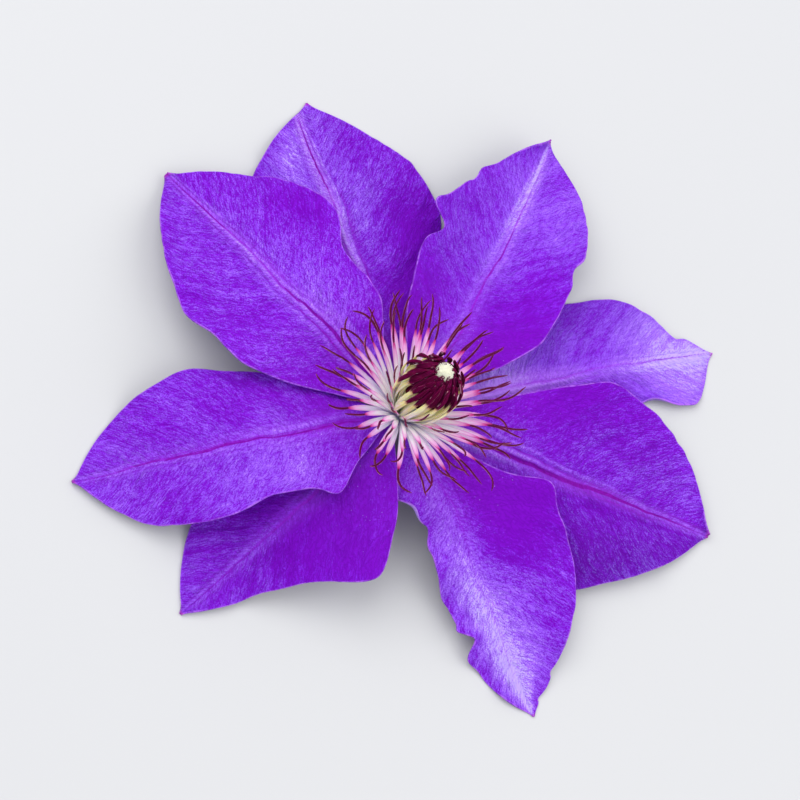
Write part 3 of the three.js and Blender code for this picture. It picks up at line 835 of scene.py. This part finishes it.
def straight_tube(bm, sides, rings):
    """A closed tube of radius 1 round +Z, with its rings spread from height 0 to 1."""
    points = bmesh.ops.create_circle(bm, cap_ends=True, segments=sides, radius=1)["verts"]
    whole = list(points)
    end = list({face for point in points for face in point.link_faces})
    for ring in range(rings):
        pulled = bmesh.ops.extrude_face_region(bm, geom=end)["geom"]
        if ring > 0:
            bmesh.ops.delete(bm, geom=end, context="FACES_ONLY")
        end = [part for part in pulled if isinstance(part, bmesh.types.BMFace)]
        bmesh.ops.translate(bm, verts=points_of(pulled), vec=(0, 0, 1 / rings))
        whole += points_of(pulled)
    return whole + list({face for point in whole for face in point.link_faces})


trial = bmesh.new()
straight_tube(trial, 10, 4)
print("a tube with 10 sides and 4 rings has", len(trial.faces), "faces")
trial.free()

# %% Bend a copy of the tube along each course


def section_point(station, x, y):
    """A point of the strand's section: grooved where it is an anther, cupped where it is flat."""
    grooved = y * (1 - station["groove"] * math.exp(-((x / 0.35) ** 2)))
    lifted = station["cup"] * (x * x - 0.5) * station["half_width"]
    return (
        station["place"]
        + station["wide"] * x * station["half_width"]
        + station["deep"] * (grooved * station["half_depth"] + lifted)
    )


def new_strands():
    """An empty mesh whose points know their part of the strand, their side and its number."""
    bm = bmesh.new()
    return bm, bm.verts.layers.float_vector.new("strand")


def add_strands(bm, layer, sides, courses, to_frame):
    """Bends a copy of the tube along each course, a list with one station for each ring."""
    rings = len(courses[0]) - 1
    tube = straight_tube(bm, sides, rings)
    for number, course in enumerate(courses):
        for point in points_of(bmesh.ops.duplicate(bm, geom=tube)["geom"]):
            station = course[round(point.co.z * rings)]
            point[layer] = Vector((station["part"], point.co.x, number))
            point.co = MM * (to_frame @ section_point(station, point.co.x, point.co.y))
    bmesh.ops.delete(bm, geom=points_of(tube), context="VERTS")


print("each point of a strand keeps its part, its side and its number")

# %% Turned shapes and finished pieces
MERGE_WITHIN = 1e-4


def add_turned(bm, layer, profile, steps, part_at, to_frame):
    """Turns a profile of radius and height round the axis. Its ends meet, or lie on the axis."""
    before = set(bm.verts)
    points = [bm.verts.new((radius, 0, height)) for radius, height in profile]
    edges = [bm.edges.new(pair) for pair in zip(points, points[1:])]
    if profile[0][0] > 0:
        edges.append(bm.edges.new((points[-1], points[0])))
    bmesh.ops.spin(
        bm, geom=points + edges, axis=(0, 0, 1), cent=(0, 0, 0),
        angle=2 * math.pi, steps=steps, use_merge=True)
    fresh = [point for point in bm.verts if point not in before]
    bmesh.ops.remove_doubles(bm, verts=fresh, dist=MERGE_WITHIN)
    for point in (point for point in bm.verts if point not in before):
        point[layer] = Vector((part_at(point.co.z), 0, 0))
        point.co = MM * (to_frame @ point.co)


def piece_from(bm, name):
    """A linked object from a finished mesh, smooth and with its faces pointing out."""
    bmesh.ops.recalc_face_normals(bm, faces=bm.faces)
    for face in bm.faces:
        face.smooth = True
    mesh = bpy.data.meshes.new(name)
    bm.to_mesh(mesh)
    bm.free()
    print(f"{name}: {len(mesh.polygons)} faces")
    return link(name, mesh)


boss = Matrix.Translation(HEART) @ Matrix.Rotation(FACE_LEAN, 4, Vector((-1, 1, 0)))
print("the boss points to", tuple(round(x, 3) for x in boss.col[2].xyz))

# %% [markdown]
# ## The spread stamens
# About a hundred opened stamens stand on a collar round the pistil, in four rings. Each leaves
# it steeply and bows outward, and the outermost end nearly flat. Its filament is a ribbon, thin
# at the root and 1.4 mm wide in the middle, white with pink edges and grey lines at the root.
# The last third is the anther: thin, maroon, bent like a hook, each to its own side. The
# innermost are short and curl round the dome. A step-by-step walk along each one gives its
# course, because the hooks would be hard to write as one formula.

# %% Walk along one stamen
STAMEN_RINGS = 28
ANTHER_START = 0.68
COLLAR_RADIUS = 2.6
FILAMENT_WIDTH = smooth_through(
    [0, 0.12, 0.28, 0.5, 0.62, ANTHER_START, 1], [0.45, 0.85, 1.25, 1.4, 1.0, 0.5, 0.5])
FILAMENT_DEPTH = 0.26
ANTHER_WIDTH = smooth_through([0, 0.12, 0.6, 0.92, 1], [0.5, 0.56, 0.5, 0.38, 0.16])
ANTHER_DEPTH = smooth_through([0, 0.15, 0.9, 1], [0.26, 0.45, 0.36, 0.15])
SPREAD_RINGS = [
    dict(count=30, root=1.5, reach=26.5, leave=50, arrive=84, loose=5),
    dict(count=27, root=1.9, reach=25.5, leave=44, arrive=71, loose=6),
    dict(count=23, root=2.3, reach=24.5, leave=37, arrive=56, loose=7),
    dict(count=18, root=2.6, reach=18, leave=24, arrive=40, loose=22),
]


def part_of(share, start):
    """Counts a strand's filament from 0 to 0.5 and its anther from 0.5 to 1."""
    if share < start:
        return 0.5 * share / start
    return 0.5 + 0.5 * (share - start) / (1 - start)


def spread_stamen(chance, ring, azimuth):
    """Stations along one stamen in the boss's frame."""
    reach = ring["reach"] * chance.uniform(0.9, 1.05)
    leave = math.radians(ring["leave"] + chance.uniform(-1.5, 1.5))
    arrive = math.radians(ring["arrive"] + chance.uniform(-1, 1) * ring["loose"])
    drift = math.radians(chance.uniform(-9, 9))
    hook = math.radians(chance.choice((-1, 1)) * chance.uniform(5, 70))
    lift = math.radians(chance.uniform(-45, 15))
    sway = chance.uniform(0.05, 0.35)
    phase = chance.uniform(0, 2 * math.pi)
    twist = math.radians(chance.uniform(-14, 14))
    size = chance.uniform(0.88, 1.12)
    place = polar(COLLAR_RADIUS, azimuth, ring["root"])
    stations = []
    for i in range(STAMEN_RINGS + 1):
        share = i / STAMEN_RINGS
        anther = clamp((share - ANTHER_START) / (1 - ANTHER_START))
        steep = lerp(leave, arrive, share) + lift * anther**1.5
        steep += 0.6 * sway * anther * math.sin(5 * anther + phase)
        heading = azimuth + drift * share + hook * anther**1.4
        heading += sway * anther * math.cos(6 * anther + phase)
        ahead = polar(math.sin(steep), heading, math.cos(steep))
        wide = Matrix.Rotation(twist * share, 3, ahead) @ polar(1, heading + math.pi / 2, 0)
        if i > 0:
            place = place + ahead * reach / STAMEN_RINGS
        width = ANTHER_WIDTH(anther) if anther > 0 else FILAMENT_WIDTH(share)
        depth = ANTHER_DEPTH(anther) if anther > 0 else FILAMENT_DEPTH
        stations.append(dict(
            place=place, wide=wide, deep=ahead.cross(wide),
            half_width=size * width / 2, half_depth=depth / 2,
            groove=0.55 * clamp(6 * anther), cup=0.22 * (1 - clamp(5 * anther)),
            part=part_of(share, ANTHER_START),
        ))
    return stations


trial = spread_stamen(random.Random(1), SPREAD_RINGS[0], 0)
print(f"an outer stamen ends {trial[-1]['place'].xy.length:.1f} mm from the boss's axis")

# %% The collar and the stamens on it
STAMEN_SEED = 23
chance = random.Random(STAMEN_SEED)
spread_courses = []
for order, ring in enumerate(SPREAD_RINGS):
    for i in range(ring["count"]):
        azimuth = 2 * math.pi * (i + 0.33 * order + chance.uniform(-0.25, 0.25)) / ring["count"]
        spread_courses.append(spread_stamen(chance, ring, azimuth))

COLLAR = [(2.3, 1.1), (2.9, 1.1), (2.95, 1.8), (2.85, 2.4), (2.7, 2.8), (2.5, 2.7)]
bm, layer = new_strands()
add_strands(bm, layer, sides=10, courses=spread_courses, to_frame=boss)
add_turned(bm, layer, COLLAR, steps=36, part_at=lambda height: 0.0, to_frame=boss)
spread = piece_from(bm, "spread_stamens")

# %% [markdown]
# ## The dome of unopened stamens
# In the middle the stamens have not opened. Their cream filaments stand upright round the
# pistil, and their broad, dark anthers bend in over it in overlapping layers, like a bud. Each
# follows the dome's own outline at its layer's distance, and a turned core behind them closes
# the gaps. A solid dome with a texture would look smooth at its edge, so every anther here is
# a strand of its own.

# %% The dome's outline and layers
DOME_FOOT = 1.1
DOME_STATIONS = [DOME_FOOT, 3.2, 5.6, 9, 13, 16.5, 20.5, 23.2, 26]
DOME_RADIUS = smooth_through(DOME_STATIONS, [1.95, 2, 3, 4.2, 5.1, 5.5, 4.8, 3.1, 1.6])
DOME_RINGS = 24
DOME_LAYERS = [
    dict(count=13, out=-0.3, top=25.4, start=0.66, width=2.4, loose=0.1),
    dict(count=12, out=0.1, top=24.8, start=0.71, width=2.4, loose=0.2),
    dict(count=11, out=0.5, top=24, start=0.77, width=2.1, loose=0.4),
    dict(count=13, out=1.0, top=23.4, start=0.8, width=1.4, loose=1.0),
    dict(count=10, out=1.9, top=24.2, start=0.74, width=1.2, loose=1.2),
]
DOME_WIDTH = smooth_through([0, 0.15, 0.5, 0.85, 1], [0.55, 0.85, 1, 0.7, 0.3])
print(f"the dome is {2 * max(map(DOME_RADIUS, DOME_STATIONS)):.0f} mm across at its widest")

# %% One stamen of the dome
STEP_BACK = 0.001
STEP_ON = 0.01


def dome_stamen(chance, ring, azimuth):
    """Stations along one stamen that follows the dome's outline."""
    top = ring["top"] + chance.uniform(-1.6, 0.9)
    swirl = math.radians(chance.uniform(8, 34))
    flare = ring["loose"] * chance.uniform(-0.3, 1)
    start = ring["start"] + chance.uniform(-0.07, 0.07)
    size = chance.uniform(0.88, 1.1)

    def at(share):
        height = lerp(DOME_FOOT, top, share)
        radius = DOME_RADIUS(height) + ring["out"] * clamp(3 * share) + flare * share**5
        return polar(radius, azimuth + swirl * share**2, height)

    stations = []
    for i in range(DOME_RINGS + 1):
        share = clamp(i / DOME_RINGS, STEP_BACK)
        ahead = (at(share + STEP_ON) - at(share - STEP_BACK)).normalized()
        wide = polar(1, azimuth + swirl * share**2, 0).cross(ahead).normalized()
        anther = clamp((share - start) / (1 - start))
        ribbon = lerp(1.05, 1.35, share / start)
        width = ring["width"] * DOME_WIDTH(anther) if anther > 0 else ribbon
        if anther == 0:
            width *= 1 - 0.3 * clamp(6 * (share / start - 0.83))
        stations.append(dict(
            place=at(share), wide=wide, deep=ahead.cross(wide),
            half_width=size * width / 2, half_depth=0.24 + 0.26 * math.sin(math.pi * anther),
            groove=0.4 * clamp(6 * anther), cup=0.12,
            part=part_of(share, start),
        ))
    return stations


trial = dome_stamen(random.Random(1), DOME_LAYERS[0], 0)
print(f"a stamen of the dome ends {trial[-1]['place'].z:.1f} mm over the heart")

# %% All stamens of the dome
DOME_SEED = 8
chance = random.Random(DOME_SEED)
dome_courses = []
for order, ring in enumerate(DOME_LAYERS):
    for i in range(ring["count"]):
        azimuth = 2 * math.pi * (i + 0.4 * order + chance.uniform(-0.18, 0.18)) / ring["count"]
        dome_courses.append(dome_stamen(chance, ring, azimuth))
print(len(dome_courses), "stamens in", len(DOME_LAYERS), "layers")

# %% The dome's core and its mesh
CORE_TOP = 23.2
CORE_STEPS = 14
CORE_INSET = 0.75
CORE_WALL = 0.35
CORE_LEAST = 1.2
CORE_DARK_FROM = 13


def core_part(height):
    """The core takes a filament's colour low down and an anther's above."""
    return 0.25 if height < CORE_DARK_FROM else 0.9


core_heights = [lerp(DOME_FOOT, CORE_TOP, i / CORE_STEPS) for i in range(CORE_STEPS + 1)]
core = [(DOME_RADIUS(height) - CORE_INSET, height) for height in core_heights]
core += [(max(CORE_LEAST, radius - CORE_WALL), height) for radius, height in reversed(core)]
bm, layer = new_strands()
add_strands(bm, layer, sides=10, courses=dome_courses, to_frame=boss)
add_turned(bm, layer, core, steps=32, part_at=core_part, to_frame=boss)
dome = piece_from(bm, "dome_stamens")

# %% [markdown]
# ## The stamens' finish
# The attribute that came with every strand says where a point is: from 0 to 0.5 on the
# filament, from 0.5 to 1 on the anther, and from -1 to 1 across. So one finish can go from
# grey at the root over white to pink and then to maroon, and another, on the dome, from cream
# over a greenish yellow to a dark maroon. Lines along the strand come from noise that is fine
# across it and slow along it.

# %% Finish of the spread stamens


def strand_lines(finish, part, side, number, along=1.5, across=4):
    """Noise drawn out along a strand."""
    return finish.noise(along * part, across * side, 3.7 * number, 1, 2, 0.6)


def spread_finish():
    finish = Finish("stamen_spread")
    part, side, number = finish.attribute("strand")
    beside = abs(side)
    lines = strand_lines(finish, part, side, number)
    fine = strand_lines(finish, part, side, number, 9, 9)

    white = finish.mix(lines, (0.93, 0.84, 0.94), (1, 0.98, 0.99))
    # painted grey-violet shade at the root, where the filaments crowd together
    root = finish.rise(part + 0.08 * (lines - 0.5), 0.17, 0.02)
    vein = finish.rise(beside, 0.35, 0.05) * finish.rise(part, 0.3, 0.12)
    filament = finish.mix(0.4 * vein, white, (0.40, 0.31, 0.64))
    filament = finish.mix(0.55 * root, filament, (0.30, 0.20, 0.62))
    edge = finish.rise(beside, 0.7, 1) * finish.rise(part, 0.1, 0.3)
    filament = finish.mix(0.45 * edge, filament, (0.60, 0.28, 0.56))
    blush = finish.rise(part + 0.08 * beside + 0.06 * (lines - 0.5), 0.29, 0.49)
    filament = finish.mix(0.85 * blush, filament, (0.74, 0.20, 0.58))
    filament = finish.mix(finish.rise(part, 0.43, 0.5), filament, (0.50, 0.02, 0.22))

    anther = finish.mix(fine, (0.05, 0.0, 0.022), (0.12, 0.0, 0.05))
    # pale specks at the anthers' edges: pollen and painted highlights
    pollen_and_highlight = finish.rise(beside, 0.6, 0.95) * finish.rise(fine, 0.42, 0.6)
    anther = finish.mix(0.6 * pollen_and_highlight, anther, (0.46, 0.20, 0.24))
    colour = finish.mix(finish.rise(part, 0.485, 0.52), filament, anther)
    return finish.done(
        Base_Color=colour,
        Roughness=0.5 + 0.2 * fine,
        Normal=finish.bump(fine, 0.015),
        Specular_IOR_Level=0.08,
        Subsurface_Weight=0.6,
        Subsurface_Radius=(0.001, 0.0006, 0.0008),
        Subsurface_Scale=1.0,
    )


spread_material = spread_finish()

# %% Finish of the dome


def dome_finish():
    finish = Finish("stamen_dome")
    part, side, number = finish.attribute("strand")
    beside = abs(side)
    lines = strand_lines(finish, part, side, number)
    fine = strand_lines(finish, part, side, number, 6, 8)

    hue = finish.noise(5.3 * number, 2 * side, 0, 1, 1)
    cream = finish.mix(finish.rise(hue, 0.38, 0.62), (0.95, 0.93, 0.46), (1.0, 1.0, 0.86))
    filament = finish.mix(finish.rise(part, 0.0, 0.15), (0.98, 0.96, 0.78), cream)
    filament = finish.mix(0.35 * finish.rise(lines, 0.45, 0.6), filament, (0.97, 0.95, 0.80))
    towards_anther = part + 0.1 * lines
    yellow = finish.rise(towards_anther, 0.34, 0.52)
    filament = finish.mix(0.6 * yellow, filament, (0.86, 0.76, 0.14))
    rosy = finish.rise(towards_anther, 0.5, 0.56)
    filament = finish.mix(0.6 * rosy, filament, (0.60, 0.16, 0.20))
    # painted shade at the ribbons' edges, where they meet
    filament = finish.mix(0.15 * finish.rise(beside, 0.75, 1), filament, (0.80, 0.70, 0.32))

    anther = finish.mix(lines, (0.025, 0.0, 0.006), (0.12, 0.0, 0.036))
    # painted highlight lines along the anthers
    anther = finish.mix(0.5 * finish.rise(fine, 0.5, 0.7), anther, (0.30, 0.006, 0.12))
    # painted shade at the anthers' edges, where they overlap
    anther = finish.mix(0.7 * finish.rise(beside, 0.6, 1), anther, (0.03, 0.0, 0.012))
    # pale specks on the rims: painted highlights and pollen
    pollen_and_highlight = finish.rise(beside, 0.8, 1) * finish.rise(fine, 0.57, 0.66)
    anther = finish.mix(0.6 * pollen_and_highlight, anther, (0.65, 0.35, 0.45))
    colour = finish.mix(finish.rise(part + 0.12 * (fine - 0.5), 0.475, 0.525), filament, anther)
    return finish.done(
        Base_Color=colour,
        Roughness=0.4 + 0.25 * fine,
        Normal=finish.bump(fine, 0.025),
        Specular_IOR_Level=0.03,
        Subsurface_Weight=0.8,
        Subsurface_Radius=(0.0012, 0.001, 0.0006),
        Subsurface_Scale=1.0,
    )


dome_material = dome_finish()

# %% Dress the stamens
for piece, material, node, slot in (
    (spread, spread_material, "stamens_outer", "stamen_cream"),
    (dome, dome_material, "stamens_inner", "stamen_maroon"),
):
    piece.data.materials.append(material)
    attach(piece, "root")
    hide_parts(node)
print("stamens:", len(spread_courses), "spread and", len(dome_courses), "in the dome")

# %% [markdown]
# ## The pistil
# The pistil is a column of carpels, hidden in the dome. Only its styles show, a round pale
# tuft of fine hairy threads. Real hair would not survive the export, so each style is a short
# thin strand with few faces, set evenly round a ball by the golden angle and bent a little.

# %% One style
TUFT_HEIGHT = 24.6
TUFT_RADIUS = 2.15
STYLES = 720
STYLE_RINGS = 5
GOLDEN_ANGLE = math.pi * (3 - math.sqrt(5))


def style(chance, order):
    """Stations along one style, from inside the ball of the tuft to its curled tip."""
    upright = 1 - 1.55 * (order + 0.5) / STYLES
    azimuth = GOLDEN_ANGLE * order
    ahead = polar(math.sqrt(1 - upright**2), azimuth, upright)
    ahead = (ahead + 0.12 * Vector([chance.uniform(-1, 1) for _ in range(3)])).normalized()
    aside = ahead.orthogonal().normalized()
    aside = Matrix.Rotation(chance.uniform(0, 2 * math.pi), 3, ahead) @ aside
    reach = TUFT_RADIUS * chance.uniform(0.9, 1.07)
    thick = chance.uniform(0.09, 0.13)
    curl = chance.uniform(0, 0.35)
    stations = []
    for i in range(STYLE_RINGS + 1):
        share = i / STYLE_RINGS
        half = thick * (1 - 0.6 * share**3)
        outward = ahead * reach * lerp(0.5, 1, share)
        stations.append(dict(
            place=Vector((0, 0, TUFT_HEIGHT)) + outward + aside * curl * share**2,
            wide=aside, deep=ahead.cross(aside), half_width=half, half_depth=half,
            groove=0, cup=0, part=share,
        ))
    return stations


print(f"the tuft is about {2 * TUFT_RADIUS:.1f} mm across")

# %% The column and its tuft
STYLE_SEED = 4
COLUMN = [  # radius and height, from the disc up into the tuft
    (0, 1.1), (1, 1.1), (1.2, 12), (1.2, 22.4), (1.65, 23.5),
    (1.85, 24.6), (1.6, 25.6), (0.9, 26.3), (0, 26.5),
]
chance = random.Random(STYLE_SEED)
style_courses = [style(chance, order) for order in range(STYLES)]
bm, layer = new_strands()
add_strands(bm, layer, sides=6, courses=style_courses, to_frame=boss)
add_turned(bm, layer, COLUMN, steps=24, part_at=lambda height: 0.5, to_frame=boss)
tuft = piece_from(bm, "pistil_tuft")

# %% Finish of the styles
finish = Finish("style_pale")
part, side, number = finish.attribute("strand")
lines = strand_lines(finish, part, side, number)
colour = finish.mix(finish.rise(part, 0.1, 0.8), (0.70, 0.68, 0.45), (0.85, 0.84, 0.67))
tuft.data.materials.append(finish.done(
    Base_Color=finish.mix(0.3 * lines, colour, (0.93, 0.91, 0.80)),
    Roughness=0.6 + 0.1 * lines,
    Normal=finish.bump(lines, 0.05),
    Subsurface_Weight=0.15,
    Subsurface_Radius=(0.001, 0.001, 0.0005),
    Subsurface_Scale=1.0,
))
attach(tuft, "root")
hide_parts("pistil")

# %% [markdown]
# ## The stalk
# The stalk is one piece with the disc that carries everything. It flares up into the disc, and
# below it goes down, bends over and lies on the table to where it was cut. It is the same
# straight tube, with many sides for its shallow ribs, bent along a line, an arc and a line.
# The cut end is a face of its own, so it can be paler, like the pith.

# %% The stalk's course
STALK_RADIUS = 1.25
STALK_BEND = 11
STALK_REACH = 50
STALK_SWAY = 5
STALK_STEEP = math.pi / 2 - FACE_LEAN
DISC_TOP = 0.8
FLARE_END = 5.4
FLARE = smooth_through(  # radius by distance below the disc's top
    [0, 0.06, 0.3, 1.2, 2, 2.8, 4, FLARE_END], [2.3, 2.7, 3, 3.02, 2.95, 2.4, 1.55, STALK_RADIUS])


def stalk_station(length):
    """The stalk's place, its way down and its dip at a length from the disc's top."""
    straight_end = HEART.z - STALK_RADIUS - STALK_BEND * (1 - math.cos(STALK_STEEP))
    straight = straight_end / math.sin(STALK_STEEP) + DISC_TOP
    arc = STALK_BEND * STALK_STEEP
    dip = STALK_STEEP * (1 - clamp((length - straight) / arc))
    before = min(length, straight) - DISC_TOP
    out = before * math.cos(STALK_STEEP) + STALK_BEND * (math.sin(STALK_STEEP) - math.sin(dip))
    down = before * math.sin(STALK_STEEP) + STALK_BEND * (math.cos(dip) - math.cos(STALK_STEEP))
    out += max(0, length - straight - arc)
    return out, down, dip


STALK_STEP = 0.9
STALK_LENGTHS = [0, 0.06, 0.2, 0.5, 0.9, 1.3, 1.7, 2.1, 2.5, 2.9, 3.3, 3.7, 4.1, 4.6, 5.2]
while stalk_station(STALK_LENGTHS[-1])[0] < STALK_REACH:
    STALK_LENGTHS.append(STALK_LENGTHS[-1] + STALK_STEP)
print(f"the stalk is {STALK_LENGTHS[-1]:.0f} mm long along its bend")

# %% A station at each of the stalk's rings
outward = Vector((math.cos(FACE_AZIMUTH + math.pi), math.sin(FACE_AZIMUTH + math.pi), 0))
aside = Vector((-outward.y, outward.x, 0))
stalk_course = []
for length in STALK_LENGTHS:
    out, down, dip = stalk_station(length)
    sway = STALK_SWAY * max(0, out / STALK_REACH) ** 2
    yaw = 2 * STALK_SWAY * max(0, out) / STALK_REACH**2
    radius = FLARE(length) if length < FLARE_END else STALK_RADIUS
    stalk_course.append(dict(
        place=Vector((HEART.x, HEART.y, HEART.z - down)) + outward * out + aside * sway,
        wide=(aside - outward * yaw).normalized(),
        deep=Vector((0, 0, math.cos(dip))) + outward * math.sin(dip),
        half_width=radius, half_depth=radius, groove=0, cup=0, part=length,
    ))
print(f"{len(STALK_LENGTHS)} rings, cut end {stalk_course[-1]['place'].z:.2f} mm over the floor")

# %% The stalk's mesh and its ribs
RIBS = 7
RIB_DEEP = 0.06
RIBS_FROM = 5      # mm below the disc's top
CUT_RIM = 0.3
CUT_HOLLOW = 0.12
bm, layer = new_strands()
add_strands(bm, layer, sides=42, courses=[stalk_course], to_frame=Matrix.Identity(4))
ends = [face for face in bm.faces if len(face.verts) > 4]
cut = max(ends, key=lambda face: face.verts[0][layer].x)
cut_points = set(cut.verts)
rim = bmesh.ops.inset_region(bm, faces=[cut], thickness=MM * CUT_RIM, depth=-MM * CUT_HOLLOW)
bm.normal_update()
for point in bm.verts:
    if point not in cut_points and point[layer].x > RIBS_FROM:
        turned = math.atan2(point.normal.z, point.normal.dot(aside))
        point.co -= MM * RIB_DEEP * (0.5 - 0.5 * math.cos(RIBS * turned)) * point.normal
cut.material_index = 1
for face in rim["faces"]:
    face.material_index = 1
stalk = piece_from(bm, "stalk")

# %% The stalk's finish
finish = Finish("stalk_green")
length, side = finish.attribute("strand")[:2]
place = finish.node("ShaderNodeTexCoord", output="Object")
specks = finish.node("ShaderNodeTexNoise", inputs={"Vector": place, "Scale": 900, "Detail": 3})
clouds = finish.node("ShaderNodeTexNoise", inputs={"Vector": place, "Scale": 110, "Detail": 2})
lines = finish.noise(0.12 * length, 5 * side, 0, 1, 2, 0.5)
green = finish.mix(clouds, (0.13, 0.20, 0.055), (0.23, 0.30, 0.10))
flush = finish.rise(lines + 0.6 * (clouds - 0.5), 0.45, 0.7)
flushed = finish.mix(flush, green, (0.17, 0.06, 0.12))
stalk.data.materials.append(finish.done(
    Base_Color=finish.mix(0.4 * finish.rise(specks, 0.5, 0.7), flushed, (0.32, 0.36, 0.17)),
    Roughness=0.5 + 0.2 * specks,
    Normal=finish.bump(lines + 0.3 * specks, 0.15),
))

finish = Finish("stalk_cut")
place = finish.node("ShaderNodeTexCoord", output="Object")
cells = finish.node("ShaderNodeTexNoise", inputs={"Vector": place, "Scale": 2500, "Detail": 2})
stalk.data.materials.append(finish.done(
    Base_Color=finish.mix(cells, (0.42, 0.47, 0.24), (0.74, 0.74, 0.52)),
    Roughness=0.6 + 0.2 * cells,
    Normal=finish.bump(cells, 0.1),
))
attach(stalk, "root")
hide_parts("stem")

# %% [markdown]
# ## The size
# The flower must stay the size that the frame gives it. Both boxes are printed, so that they
# can be compared after every change.

# %% Print the boxes and finish
made_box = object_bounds()
sizes = {
    "cad": [list(corner) for corner in cad_box],
    "visual": [list(corner) for corner in made_box],
}
for name, (low, high) in sizes.items():
    print(name, "box in mm:", [round(1000 * (b - a), 1) for a, b in zip(low, high)])
